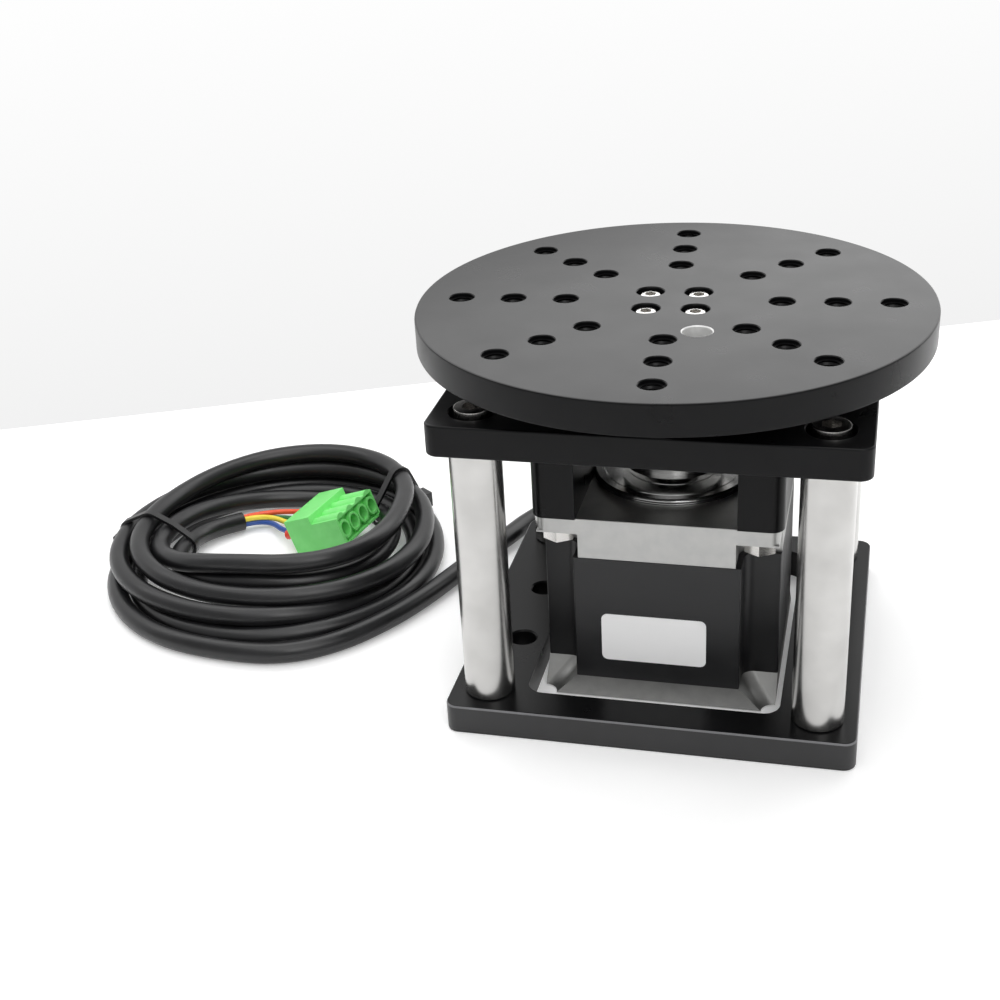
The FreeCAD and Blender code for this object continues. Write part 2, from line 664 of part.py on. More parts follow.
def wave_washer():
    bottom = REAR_CAP_BOTTOM + REAR_CAP_FLOOR
    inner = MOTOR_BEARING_OUTER - BEARING_WALL
    return ring(MOTOR_BEARING_OUTER - SHANK_CLEARANCE, inner, bottom, bottom + WASHER_HEIGHT)


def race_ring(wall_radius, pitch_radius, ball, height, bottom):
    """Bearing ring with its ball groove; the wall's radius tells the inner ring from the outer."""
    side = 1 if wall_radius > pitch_radius else -1
    reach = ball + RACE_CLEARANCE
    shoulder_offset = ball * SHOULDER_SHARE
    shoulder = pitch_radius + side * shoulder_offset
    root = pitch_radius + side * reach
    mouth_half = reach * math.sqrt(2) - shoulder_offset
    root_half = reach * math.tan(math.pi / 8)
    middle = bottom + height / 2
    return turned([(wall_radius, bottom), (shoulder, bottom), (shoulder, middle - mouth_half),
                   (root, middle - root_half), (root, middle + root_half), (shoulder, middle + mouth_half),
                   (shoulder, bottom + height), (wall_radius, bottom + height)])


def ball_set(pitch_radius, ball, count, middle):
    return [Part.makeSphere(ball, V(x, y, middle)) for x, y in on_circle(pitch_radius, count)]


def ball_cage(pitch_radius, ball, count, middle):
    """Ring that spaces the balls, with a pocket for each."""
    wall = ball * CAGE_WALL_SHARE / 2
    half = ball * CAGE_HEIGHT_SHARE / 2
    cage = ring(pitch_radius + wall, pitch_radius - wall, middle - half, middle + half)
    pockets = [Part.makeCylinder(ball, 2 * ball, V(x, y, middle), V(x, y, 0))
               for x, y in on_circle(pitch_radius - ball, count)]
    return cage.cut(pockets)


def hub_bearing(bottom):
    """Outer ring, inner ring, balls and cage of one of the hub's bearings."""
    pitch = (BEARING_BORE + BEARING_OUTER) / 2
    middle = bottom + BEARING_HEIGHT / 2
    return (race_ring(BEARING_OUTER, pitch, BEARING_BALL, BEARING_HEIGHT, bottom),
            race_ring(BEARING_BORE, pitch, BEARING_BALL, BEARING_HEIGHT, bottom),
            ball_set(pitch, BEARING_BALL, BEARING_BALLS, middle),
            ball_cage(pitch, BEARING_BALL, BEARING_BALLS, middle))


def motor_bearing(bottom):
    pitch = (SHAFT_RADIUS + MOTOR_BEARING_OUTER) / 2
    middle = bottom + MOTOR_BEARING_HEIGHT / 2
    return (race_ring(MOTOR_BEARING_OUTER, pitch, MOTOR_BEARING_BALL, MOTOR_BEARING_HEIGHT, bottom),
            race_ring(SHAFT_RADIUS, pitch, MOTOR_BEARING_BALL, MOTOR_BEARING_HEIGHT, bottom),
            ball_set(pitch, MOTOR_BEARING_BALL, MOTOR_BEARING_BALLS, middle),
            ball_cage(pitch, MOTOR_BEARING_BALL, MOTOR_BEARING_BALLS, middle))


def bearing_spacer():
    return ring(BEARING_BORE + SPACER_WALL, BEARING_BORE, BRACKET_SHOULDER, UPPER_BEARING_BOTTOM)


def bearing_retainer():
    plate = ring(RETAINER_RADIUS, RETAINER_BORE, TOP_FACE, TOP_FACE + RETAINER_THICKNESS)
    holes = [cylinder(M3_RADIUS + SHANK_CLEARANCE, TOP_FACE - CUT, TOP_FACE + RETAINER_THICKNESS + CUT, x, y)
             for x, y in on_circle(RETAINER_CIRCLE, RETAINER_SCREW_COUNT)]
    return plate.cut(holes)


def retainer_screws():
    screw = cap_screw(M3_RADIUS, RETAINER_SCREW_LENGTH, M3_HEAD_RADIUS, BUTTON_HEAD_HEIGHT, M3_SOCKET)
    return [moved(screw, x, y, TOP_FACE + RETAINER_THICKNESS)
            for x, y in on_circle(RETAINER_CIRCLE, RETAINER_SCREW_COUNT)]


def hub_screw_places():
    return on_circle(HUB_SCREW_CIRCLE, 4, DISC_TURN + 360.0 / DISC_HOLE_LINES)


def hub_screw_seat():
    return DISC_FACE - HUB_COUNTERBORE_DEPTH


def table_hub():
    """Turned hub: flange under the disc, journal in the bearings, slotted sleeve on the shaft."""
    hub = turned([(SHAFT_RADIUS, HUB_BOTTOM), (HUB_SLEEVE_RADIUS, HUB_BOTTOM),
                  (HUB_SLEEVE_RADIUS, HUB_SLEEVE_TOP), (BEARING_BORE, HUB_SLEEVE_TOP),
                  (BEARING_BORE, TOP_FACE), (HUB_NECK_RADIUS, TOP_FACE),
                  (HUB_NECK_RADIUS, HUB_FLANGE_BOTTOM), (HUB_FLANGE_RADIUS, HUB_FLANGE_BOTTOM),
                  (HUB_FLANGE_RADIUS, DISC_UNDERSIDE), (HUB_SPIGOT_RADIUS, DISC_UNDERSIDE),
                  (HUB_SPIGOT_RADIUS, DISC_UNDERSIDE + HUB_SPIGOT_HEIGHT),
                  (0, DISC_UNDERSIDE + HUB_SPIGOT_HEIGHT), (0, shaft_pocket_top()),
                  (SHAFT_RADIUS, shaft_pocket_top())])
    slots = [Part.makeBox(2 * HUB_SLEEVE_RADIUS + CUT, HUB_SLOT_WIDTH, HUB_SLEEVE_LENGTH + CUT,
                          V(-HUB_SLEEVE_RADIUS - CUT / 2, -HUB_SLOT_WIDTH / 2, HUB_BOTTOM - CUT))]
    slots.append(rotated(slots[0], 90.0))
    tip = hub_screw_seat() - HUB_SCREW_LENGTH
    taps = [cylinder(M3_RADIUS, tip - CUT, DISC_UNDERSIDE + CUT, x, y) for x, y in hub_screw_places()]
    return hub.cut(slots + taps)


def shaft_pocket_top():
    return BRACKET_BOTTOM + PILOT_HEIGHT + SHAFT_REACH + SHAFT_TOP_CHAMFER


def shaft_clamp():
    """Split collar round the hub's sleeve, with a cross hole for its screw."""
    collar = ring(CLAMP_RADIUS, HUB_SLEEVE_RADIUS, HUB_BOTTOM, HUB_BOTTOM + CLAMP_HEIGHT)
    split = Part.makeBox(CLAMP_RADIUS + CUT, CLAMP_SPLIT, CLAMP_HEIGHT + 2 * CUT,
                         V(0, -CLAMP_SPLIT / 2, HUB_BOTTOM - CUT))
    middle = HUB_BOTTOM + CLAMP_HEIGHT / 2
    hole = Part.makeCylinder(M3_RADIUS, 2 * CLAMP_RADIUS, V(CLAMP_SCREW_OFFSET, -CLAMP_RADIUS, middle), V(0, 1, 0))
    flat_y = CLAMP_LUG_FLAT - M3_HEAD_HEIGHT
    recess = Part.makeCylinder(M3_HEAD_RADIUS, CLAMP_RADIUS, V(CLAMP_SCREW_OFFSET, flat_y, middle), V(0, 1, 0))
    return collar.cut([split, hole, recess])


def clamp_screw():
    screw = cap_screw(M3_RADIUS, CLAMP_SCREW_LENGTH - CLAMP_LUG_FLAT + M3_HEAD_HEIGHT, M3_HEAD_RADIUS,
                      M3_HEAD_HEIGHT, M3_SOCKET)
    screw.rotate(V(0, 0, 0), V(1, 0, 0), -90)
    return moved(screw, CLAMP_SCREW_OFFSET, CLAMP_LUG_FLAT - M3_HEAD_HEIGHT, HUB_BOTTOM + CLAMP_HEIGHT / 2)


def access_hole_place():
    return polar(RETAINER_CIRCLE, ACCESS_HOLE_ANGLE)


def table_disc():
    """Round table with three circles of tapped holes and one hole that reaches the retainer's screws."""
    chamfer = DISC_CHAMFER
    disc = turned([(0, DISC_UNDERSIDE), (DISC_RADIUS - chamfer, DISC_UNDERSIDE),
                   (DISC_RADIUS, DISC_UNDERSIDE + chamfer), (DISC_RADIUS, DISC_FACE - chamfer),
                   (DISC_RADIUS - chamfer, DISC_FACE), (0, DISC_FACE)])
    tool = hole_tool(DISC_HOLE_RADIUS, DISC_UNDERSIDE, DISC_FACE, DISC_HOLE_CHAMFER)
    cutters = [cylinder(HUB_SPIGOT_RADIUS, DISC_UNDERSIDE - CUT, DISC_UNDERSIDE + HUB_SPIGOT_HEIGHT),
               moved(hole_tool(ACCESS_HOLE_RADIUS, DISC_UNDERSIDE, DISC_FACE, DISC_HOLE_CHAMFER),
                     *access_hole_place())]
    for radius in DISC_HOLE_CIRCLES:
        cutters += [moved(tool, x, y) for x, y in on_circle(radius, DISC_HOLE_LINES, DISC_TURN)]
    for x, y in hub_screw_places():
        cutters.append(cylinder(M3_RADIUS + SHANK_CLEARANCE, DISC_UNDERSIDE - CUT, DISC_FACE + CUT, x, y))
        cutters.append(cylinder(M3_HEAD_RADIUS + HEAD_CLEARANCE, hub_screw_seat(), DISC_FACE + CUT, x, y))
    return disc.cut(cutters)


def hub_screws():
    screw = cap_screw(M3_RADIUS, HUB_SCREW_LENGTH, M3_HEAD_RADIUS, M3_HEAD_HEIGHT, M3_SOCKET)
    return [moved(screw, x, y, hub_screw_seat()) for x, y in hub_screw_places()]


def motor_label():
    face_y = -FLANGE_SIDE / 2
    label = Part.makeBox(LABEL_WIDTH, LABEL_THICKNESS, LABEL_HEIGHT,
                         V(LABEL_CENTRE_X - LABEL_WIDTH / 2, face_y - LABEL_THICKNESS,
                           LABEL_CENTRE_Z - LABEL_HEIGHT / 2))
    corners = [edge for edge in label.Edges if abs(edge.tangentAt(edge.FirstParameter).y) > 0.99]
    return label.makeFillet(LABEL_CORNER, corners)


def cable_grommet():
    """Moulded boot on the motor's back with a tapered sleeve round the cable."""
    face_y = FLANGE_SIDE / 2
    bottom = GROMMET_Z - GROMMET_HEIGHT / 2 - GROMMET_CORNER
    boot = Part.makeBox(GROMMET_WIDTH, GROMMET_DEPTH, GROMMET_HEIGHT,
                        V(GROMMET_X - GROMMET_WIDTH / 2, face_y, bottom))
    corners = [edge for edge in boot.Edges if abs(edge.tangentAt(edge.FirstParameter).y) > 0.99]
    boot = boot.makeFillet(GROMMET_CORNER, corners)
    sleeve = Part.makeCone(SLEEVE_BASE_RADIUS, SLEEVE_TIP_RADIUS, SLEEVE_LENGTH,
                           V(GROMMET_X, face_y + GROMMET_DEPTH, GROMMET_Z), V(0, 1, 0))
    return boot.fuse(sleeve)


def rounded_path(points, label):
    """Wire of straight runs joined by tangent arcs, each as large as its runs allow."""
    points = [V(*point) for point in points]
    edges = []
    start = points[0]
    radii = []
    for before, corner, after in zip(points, points[1:], points[2:]):
        incoming = (corner - before).normalize()
        outgoing = (after - corner).normalize()
        turn = incoming.getAngle(outgoing)
        back = BEND_SHARE * min((corner - before).Length, (after - corner).Length)
        radius = back / math.tan(turn / 2)
        radii.append(round(radius, 1))
        entry = corner - incoming * back
        leave = corner + outgoing * back
        inward = (outgoing - incoming).normalize()
        middle = corner + inward * (radius / math.cos(turn / 2) - radius)
        edges.append(Part.LineSegment(start, entry).toShape())
        edges.append(Part.Arc(entry, middle, leave).toShape())
        start = leave
    edges.append(Part.LineSegment(start, points[-1]).toShape())
    print(label, "radii", radii)
    return Part.Wire(edges)


def tube_along(points, radius, label):
    wire = rounded_path(points, label)
    first = V(*points[0])
    heading = V(*points[1]) - first
    profile = Part.Wire(Part.Circle(first, heading, radius).toShape())
    tube = wire.makePipeShell([profile], True, False)
    print(label, "length", round(wire.Length, 1),
          "volume share", round(tube.Volume / (math.pi * radius ** 2 * wire.Length), 4))
    return tube


def cable_run():
    return tube_along(CABLE_ROUTE, CABLE_RADIUS, "cable run")


def blended(start, end, share):
    weight = (1 - math.cos(math.pi * share)) / 2
    return [first + (second - first) * weight for first, second in zip(start, end)]


def strand(quarters):
    """Radius and height of the cable in the coil, a number of quarter turns after the front."""
    stations = [lay for turn in COIL_LAYS for lay in turn]
    index = min(int(quarters), len(stations) - 2)
    return blended(stations[index], stations[index + 1], quarters - index)


def strands_at(quarter):
    """Every place where the cable passes one quarter-turn angle of the coil."""
    last = sum(len(turn) for turn in COIL_LAYS) - 1
    return [strand(quarter + 4 * turn) for turn in range(len(COIL_LAYS)) if quarter + 4 * turn <= last]


def bundle_outline(quarter, skin=0.0):
    """Tangent outline round the strands at one angle, as (radius, height) corners."""
    reach = CABLE_RADIUS + skin
    directions = [2 * math.pi * side / OUTLINE_SIDES for side in range(OUTLINE_SIDES)]
    support = [max(r * math.cos(a) + z * math.sin(a) for r, z in strands_at(quarter)) + reach
               for a in directions]
    corners = []
    spread = math.sin(2 * math.pi / OUTLINE_SIDES)
    for side in range(OUTLINE_SIDES):
        a, b = directions[side - 1], directions[side]
        first, second = support[side - 1], support[side]
        corners.append(((first * math.sin(b) - second * math.sin(a)) / spread,
                        (second * math.cos(a) - first * math.cos(b)) / spread))
    return [(radius, max(height, 0.0)) for radius, height in corners]


def coil_place(radius, height, quarter):
    angle = -math.pi / 2 * (1 + quarter)
    return V(COIL_X + radius * math.cos(angle), COIL_Y + radius * math.sin(angle), height)


def cable_coil():
    """The coil's outer shape: a closed ring of flat facets round the bundle."""
    rings = []
    for station in range(COIL_STATIONS):
        quarter = 4.0 * station / COIL_STATIONS
        rings.append([coil_place(radius, height, quarter) for radius, height in bundle_outline(quarter)])
    faces = []
    for station in range(COIL_STATIONS):
        here, there = rings[station - 1], rings[station]
        for side in range(OUTLINE_SIDES):
            near = (here[side - 1], here[side])
            far = (there[side - 1], there[side])
            faces.append(Part.Face(Part.makePolygon([near[0], near[1], far[1], near[0]])))
            faces.append(Part.Face(Part.makePolygon([near[0], far[1], far[0], near[0]])))
    solid = Part.Solid(Part.Shell(faces))
    return solid if solid.Volume > 0 else solid.reversed()


def cable_tail():
    return tube_along(CABLE_TAIL, CABLE_RADIUS, "cable tail")


def bundle_prism(quarter, skin, width, tangent):
    """Short prism round the bundle, centred on one angle of the coil."""
    corners = [coil_place(radius, height, quarter) - tangent * (width / 2)
               for radius, height in bundle_outline(quarter, skin)]
    corners = [corner for index, corner in enumerate(corners)
               if corner.distanceToPoint(corners[index - 1]) > SHORTEST_EDGE]
    return Part.Face(Part.makePolygon(corners + corners[:1])).extrude(tangent * width)


def cable_tie(angle):
    """Strap round the bundle at one angle, with its head on the outside."""
    quarter = (-angle / 90.0 - 1.0) % 4.0
    tangent = V(-math.sin(math.radians(angle)), math.cos(math.radians(angle)), 0)
    band = bundle_prism(quarter, TIE_THICKNESS, TIE_WIDTH, tangent)
    reach = max(radius for radius, height in bundle_outline(quarter, TIE_THICKNESS))
    head = Part.makeBox(TIE_HEAD_HEIGHT, TIE_HEAD, TIE_HEAD,
                        V(reach - TIE_THICKNESS / 2, -TIE_HEAD / 2, TIE_HEAD_Z))
    band = band.fuse(moved(rotated(head, angle), COIL_X, COIL_Y))
    return band.cut(bundle_prism(quarter, 0.0, TIE_WIDTH + 2 * CUT, tangent))


def placed_block(shape):
    """From the terminal block's own axes to where it lies."""
    copy = shape.copy()
    copy.rotate(V(0, 0, 0), V(0, 1, 0), -BLOCK_TILT)
    copy.rotate(V(0, 0, 0), UP, BLOCK_YAW)
    copy.translate(V(*BLOCK_TAIL))
    return copy


def block_pole_places():
    first = (BLOCK_WIDTH - (BLOCK_POLES - 1) * POLE_PITCH) / 2
    return [first + pole * POLE_PITCH for pole in range(BLOCK_POLES)]


def connector_body():
    """Terminal block: screw half with wire entries, and a lower plug half with ridges and sockets."""
    rear = Part.makeBox(BLOCK_REAR_DEPTH, BLOCK_WIDTH, BLOCK_HEIGHT)
    plug_top = BLOCK_HEIGHT - BLOCK_STEP - BLOCK_RIDGE_RISE
    plug = Part.makeBox(BLOCK_PLUG_DEPTH, BLOCK_WIDTH, plug_top, V(BLOCK_REAR_DEPTH, 0, 0))
    length = BLOCK_REAR_DEPTH + BLOCK_PLUG_DEPTH
    ridges = []
    cutters = []
    for y in block_pole_places():
        ridge_z = plug_top + BLOCK_RIDGE_RISE - BLOCK_RIDGE_RADIUS
        ridges.append(Part.makeCylinder(BLOCK_RIDGE_RADIUS, BLOCK_PLUG_DEPTH, V(BLOCK_REAR_DEPTH, y, ridge_z),
                                        V(1, 0, 0)))
        middle = plug_top / 2
        cutters.append(Part.makeCylinder(BLOCK_SOCKET_RADIUS, BLOCK_SOCKET_DEPTH,
                                         V(length - BLOCK_SOCKET_DEPTH, y, middle), V(1, 0, 0)))
        cutters.append(Part.makeCylinder(BLOCK_RIM_RADIUS, BLOCK_RIM_DEPTH,
                                         V(length - BLOCK_RIM_DEPTH, y, middle), V(1, 0, 0)))
        cutters.append(Part.makeBox(BLOCK_ENTRY_DEPTH, BLOCK_ENTRY, BLOCK_ENTRY,
                                    V(0, y - BLOCK_ENTRY / 2, BLOCK_ENTRY_Z - BLOCK_ENTRY / 2)))
        cutters.append(cylinder(BLOCK_SCREW_RADIUS, -CUT, BLOCK_SCREW_SINK + BLOCK_SCREW_HEIGHT,
                                BLOCK_REAR_DEPTH / 2, y))
    return placed_block(rear.fuse([plug] + ridges).cut(cutters))


def connector_screws():
    screw = cylinder(BLOCK_SCREW_RADIUS, BLOCK_SCREW_SINK, BLOCK_SCREW_SINK + BLOCK_SCREW_HEIGHT)
    slot = Part.makeBox(2 * BLOCK_SCREW_RADIUS + CUT, BLOCK_SLOT_WIDTH, BLOCK_SLOT_WIDTH + CUT,
                        V(-BLOCK_SCREW_RADIUS - CUT / 2, -BLOCK_SLOT_WIDTH / 2, BLOCK_SCREW_SINK - CUT))
    screw = screw.cut(slot)
    return [placed_block(moved(screw, BLOCK_REAR_DEPTH / 2, y)) for y in block_pole_places()]


def wire(index):
    """One insulated wire from the jacket's end into its entry in the terminal block."""
    side, rise = WIRE_STARTS[index]
    heading = (V(*CABLE_TAIL[-1]) - V(*CABLE_TAIL[-2])).normalize()
    across = UP.cross(heading).normalize()
    start = V(*CABLE_TAIL[-1]) + across * side * WIRE_RADIUS + UP * rise * WIRE_RADIUS
    y = block_pole_places()[index]
    entry = placed_block(Part.Vertex(V(BLOCK_ENTRY_DEPTH, y, BLOCK_ENTRY_Z))).Point
    mouth = placed_block(Part.Vertex(V(-BLOCK_ENTRY_DEPTH / 2, y, BLOCK_ENTRY_Z))).Point
    leaving = start + heading * (mouth - start).Length * WIRE_HALFWAY
    points = [tuple(point) for point in (start, leaving, mouth, entry)]
    return tube_along(points, WIRE_RADIUS, "wire " + WIRE_NAMES[index])


def post_nodes():
    names = {(-1, -1): "post_front_left", (-1, 1): "post_back_left",
             (1, -1): "post_front_right", (1, 1): "post_back_right"}
    shape = post()
    return {names[(int(math.copysign(1, x)), int(math.copysign(1, y)))]: moved(shape, x, y, POST_BOTTOM)
            for x, y in post_places()}


def bearing_nodes():
    nodes = {}
    for name, parts in (("upper_bearing", hub_bearing(UPPER_BEARING_BOTTOM)),
                        ("lower_bearing", hub_bearing(LOWER_BEARING_BOTTOM)),
                        ("motor_front_bearing", motor_bearing(front_bearing_bottom())),
                        ("motor_rear_bearing", motor_bearing(rear_bearing_bottom()))):
        nodes[name + "_outer_ring"], nodes[name + "_inner_ring"], nodes[name + "_balls"] = parts[:3]
        nodes[name + "_cage"] = parts[3]
    return nodes


def all_nodes():
    nodes = {"base_plate": base_plate()}
    nodes.update(post_nodes())
    nodes.update({
        "top_plate": top_plate(),
        "top_post_screws": top_post_screws(),
        "bottom_post_screws": bottom_post_screws(),
        "motor_bracket": motor_bracket(),
        "motor_screws": motor_screws(),
        "flange_nuts": flange_nuts(),
        "motor_front_cap": motor_front_cap(),
        "motor_stator": motor_stator(),
        "motor_windings": motor_windings(),
        "motor_rear_cap": motor_rear_cap(),
        "motor_tie_screws": motor_tie_screws(),
        "motor_label": motor_label(),
        "rotor_front_cup": rotor_front_cup(),
        "rotor_rear_cup": rotor_rear_cup(),
        "rotor_magnet": rotor_magnet(),
        "motor_shaft": motor_shaft(),
        "wave_washer": wave_washer(),
    })
    nodes.update(bearing_nodes())
    nodes.update({
        "table_disc": table_disc(),
        "table_hub": table_hub(),
        "hub_screws": hub_screws(),
        "shaft_clamp": shaft_clamp(),
        "clamp_screw": clamp_screw(),
        "bearing_spacer": bearing_spacer(),
        "bearing_retainer": bearing_retainer(),
        "retainer_screws": retainer_screws(),
        "cable_grommet": cable_grommet(),
        "cable_run": cable_run(),
        "cable_coil": cable_coil(),
        "cable_tail": cable_tail(),
        "cable_tie_left": cable_tie(LEFT_TIE_ANGLE),
        "cable_tie_right": cable_tie(RIGHT_TIE_ANGLE),
        "connector_body": connector_body(),
        "connector_screws": connector_screws(),
    })
    for index, colour in enumerate(WIRE_NAMES):
        nodes["wire_" + colour] = wire(index)
    return nodes


os.makedirs("parts", exist_ok=True)
for name, solids in all_nodes().items():
    shape = Part.makeCompound(solids) if isinstance(solids, list) else solids
    shape.exportStep("parts/" + name + ".step")
    print(name, "valid", shape.isValid(), "solids", len(shape.Solids), "volume", round(shape.Volume, 1))
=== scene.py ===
import bpy
import bmesh
import math
from mathutils import Matrix, Vector


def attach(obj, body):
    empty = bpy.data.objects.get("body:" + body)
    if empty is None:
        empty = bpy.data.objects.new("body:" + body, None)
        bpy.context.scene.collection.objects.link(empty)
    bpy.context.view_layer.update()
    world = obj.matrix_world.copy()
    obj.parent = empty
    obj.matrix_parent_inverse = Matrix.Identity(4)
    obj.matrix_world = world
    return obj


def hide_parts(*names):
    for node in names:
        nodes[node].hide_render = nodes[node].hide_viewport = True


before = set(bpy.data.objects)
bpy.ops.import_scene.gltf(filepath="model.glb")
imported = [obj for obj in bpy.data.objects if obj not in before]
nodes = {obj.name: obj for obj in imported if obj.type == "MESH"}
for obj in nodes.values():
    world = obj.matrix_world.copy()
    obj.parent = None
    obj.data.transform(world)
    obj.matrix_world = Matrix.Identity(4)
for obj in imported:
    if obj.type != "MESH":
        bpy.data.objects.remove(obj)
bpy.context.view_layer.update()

# The camera stands in front of the table, a little to the right, and looks down on it.
# Its place, tilt and lens were found from the plates' corners and the disc's rim.
PHOTO_SIZE = 1000
CAMERA_PLACE = Vector((0.04843, -0.33834, 0.21767))
CAMERA_TURN = math.radians(-15.32)
CAMERA_TILT = math.radians(-27.10)
CAMERA_ROLL = math.radians(3.40)
SENSOR = 36.0
FOCAL_PIXELS = 1546.55

ahead = Vector((math.sin(CAMERA_TURN) * math.cos(CAMERA_TILT),
                math.cos(CAMERA_TURN) * math.cos(CAMERA_TILT), math.sin(CAMERA_TILT)))
level_right = Vector((math.cos(CAMERA_TURN), -math.sin(CAMERA_TURN), 0))
level_down = ahead.cross(level_right)
picture_right = level_right * math.cos(CAMERA_ROLL) + level_down * math.sin(CAMERA_ROLL)
picture_down = level_down * math.cos(CAMERA_ROLL) - level_right * math.sin(CAMERA_ROLL)

camera_data = bpy.data.cameras.new("camera")
camera_data.sensor_width = SENSOR
camera_data.lens = FOCAL_PIXELS / PHOTO_SIZE * SENSOR
camera_data.clip_start = 0.01
camera = bpy.data.objects.new("camera", camera_data)
bpy.context.collection.objects.link(camera)
camera.matrix_world = (Matrix.Translation(CAMERA_PLACE)
                       @ Matrix((picture_right, -picture_down, -ahead)).transposed().to_4x4())
scene = bpy.context.scene
scene.camera = camera
scene.view_settings.view_transform = "Standard"

# Studio: a white sheet on a bench, whose far edge shows, and a pale wall behind it, which
# the disc's face mirrors. Soft lamps above, behind and in front light the table.
FAR_EDGE_LEFT = (0, 430)
FAR_EDGE_RIGHT = (1000, 320)
BENCH_REACH = 1.4
WALL_HEIGHT = 1.6
WALL_SHADE_HEIGHT = 0.14
WALL_BELOW_BENCH = 0.001


def linear(code):
    """Linear colour from an sRGB code such as #1c1c1d."""
    levels = [int(code[place:place + 2], 16) / 255 for place in (1, 3, 5)]
    return [level / 12.92 if level <= 0.04045 else ((level + 0.055) / 1.055) ** 2.4 for level in levels] + [1.0]


def add(tree, kind, settings=None, **inputs):
    """Adds a shader node: settings are its own, inputs are values or other nodes' sockets."""
    node = tree.nodes.new(kind)
    for key, value in (settings or {}).items():
        setattr(node, key, value)
    feed(tree, node, **inputs)
    return node


def feed(tree, node, **inputs):
    """Sets a node's inputs by name, or by number as _0; underscores stand for spaces."""
    for key, value in inputs.items():
        socket = node.inputs[int(key[1:])] if key[0] == "_" else node.inputs[key.replace("_", " ")]
        if isinstance(value, bpy.types.NodeSocket):
            tree.links.new(value, socket)
        else:
            socket.default_value = value


def material(name):
    """A new material with a principled surface: (material, its node tree, the surface)."""
    made = bpy.data.materials.new(name)
    made.use_nodes = True
    return made, made.node_tree, made.node_tree.nodes["Principled BSDF"]


def on_bench(pixel):
    """The point of the bench's surface that one pixel of the photograph shows."""
    across = (pixel[0] - PHOTO_SIZE / 2) / FOCAL_PIXELS
    down = (pixel[1] - PHOTO_SIZE / 2) / FOCAL_PIXELS
    ray = ahead + picture_right * across + picture_down * down
    return CAMERA_PLACE - ray * (CAMERA_PLACE.z / ray.z)


def flat_sheet(name, corners, finish):
    """A flat piece of the studio, which isn't part of the object."""
    sheet = bmesh.new()
    sheet.faces.new([sheet.verts.new(corner) for corner in corners])
    mesh = bpy.data.meshes.new(name)
    sheet.to_mesh(mesh)
    sheet.free()
    mesh.materials.append(finish)
    laid = bpy.data.objects.new(name, mesh)
    bpy.context.collection.objects.link(laid)


def shown_directly(tree):
    """1 for rays from the camera, from mirrors and through glass, 0 for those that carry light."""
    ray = add(tree, "ShaderNodeLightPath")
    direct = add(tree, "ShaderNodeMath", {"operation": "MAXIMUM"}, _0=ray.outputs["Is Camera Ray"],
                 _1=ray.outputs["Is Glossy Ray"])
    return add(tree, "ShaderNodeMath", {"operation": "MAXIMUM"}, _0=direct.outputs[0],
               _1=ray.outputs["Is Transmission Ray"]).outputs[0]


far_left, far_right = on_bench(FAR_EDGE_LEFT), on_bench(FAR_EDGE_RIGHT)
along_edge = (far_right - far_left).normalized()
far_left, far_right = far_left - along_edge * BENCH_REACH, far_right + along_edge * BENCH_REACH
to_front = Vector((along_edge.y, -along_edge.x, 0)) * BENCH_REACH * 2

# White paper: matt, and as bright as the photograph's ground where it is seen directly.
sheet_finish, tree, surface = material("white_paper_sheet")
feed(tree, surface, Base_Color=linear("#f4f4f4"), Roughness=0.9, Specular_IOR_Level=0.1)
seen = add(tree, "ShaderNodeEmission", Color=linear("#ffffff"), Strength=0.2)
plus = add(tree, "ShaderNodeAddShader", _0=surface.outputs[0], _1=seen.outputs[0])
mixed = add(tree, "ShaderNodeMixShader", Fac=shown_directly(tree), _1=surface.outputs[0], _2=plus.outputs[0])
feed(tree, tree.nodes["Material Output"], Surface=mixed.outputs[0])
flat_sheet("bench", [far_left, far_left + to_front, far_right + to_front, far_right], sheet_finish)

# Pale wall: shown with its own light, a little darker near the bench.
wall_finish, tree, surface = material("pale_wall")
feed(tree, surface, Base_Color=linear("#e8e8e8"), Roughness=0.9, Specular_IOR_Level=0.1)
place = add(tree, "ShaderNodeSeparateXYZ", Vector=add(tree, "ShaderNodeTexCoord").outputs["Object"])
height = add(tree, "ShaderNodeMapRange", Value=place.outputs["Z"], From_Min=0.0,
             From_Max=WALL_SHADE_HEIGHT)
shade = add(tree, "ShaderNodeMix", {"data_type": "RGBA"}, _0=height.outputs[0], _6=linear("#f2f2f2"),
            _7=linear("#fefefe"))
seen = add(tree, "ShaderNodeEmission", Color=shade.outputs[2], Strength=1.0)
mixed = add(tree, "ShaderNodeMixShader", Fac=shown_directly(tree), _1=surface.outputs[0], _2=seen.outputs[0])
# From behind the wall is clear, so that the object shows from every side.
behind = add(tree, "ShaderNodeNewGeometry").outputs["Backfacing"]
clear = add(tree, "ShaderNodeBsdfTransparent")
sided = add(tree, "ShaderNodeMixShader", Fac=behind, _1=mixed.outputs[0], _2=clear.outputs[0])
feed(tree, tree.nodes["Material Output"], Surface=sided.outputs[0])
rise = Vector((0, 0, WALL_HEIGHT))
drop = Vector((0, 0, WALL_BELOW_BENCH))
flat_sheet("wall", [far_left - drop, far_right - drop, far_right + rise, far_left + rise], wall_finish)


def lamp(name, place, aim, width, depth, power):
    """Soft rectangular lamp that faces one point."""
    data = bpy.data.lights.new(name, "AREA")
    data.shape = "RECTANGLE"
    data.size, data.size_y, data.energy = width, depth, power
    hung = bpy.data.objects.new(name, data)
    bpy.context.collection.objects.link(hung)
    hung.location = place
    hung.rotation_euler = (Vector(aim) - Vector(place)).to_track_quat("-Z", "Y").to_euler()
    hung.visible_camera = False


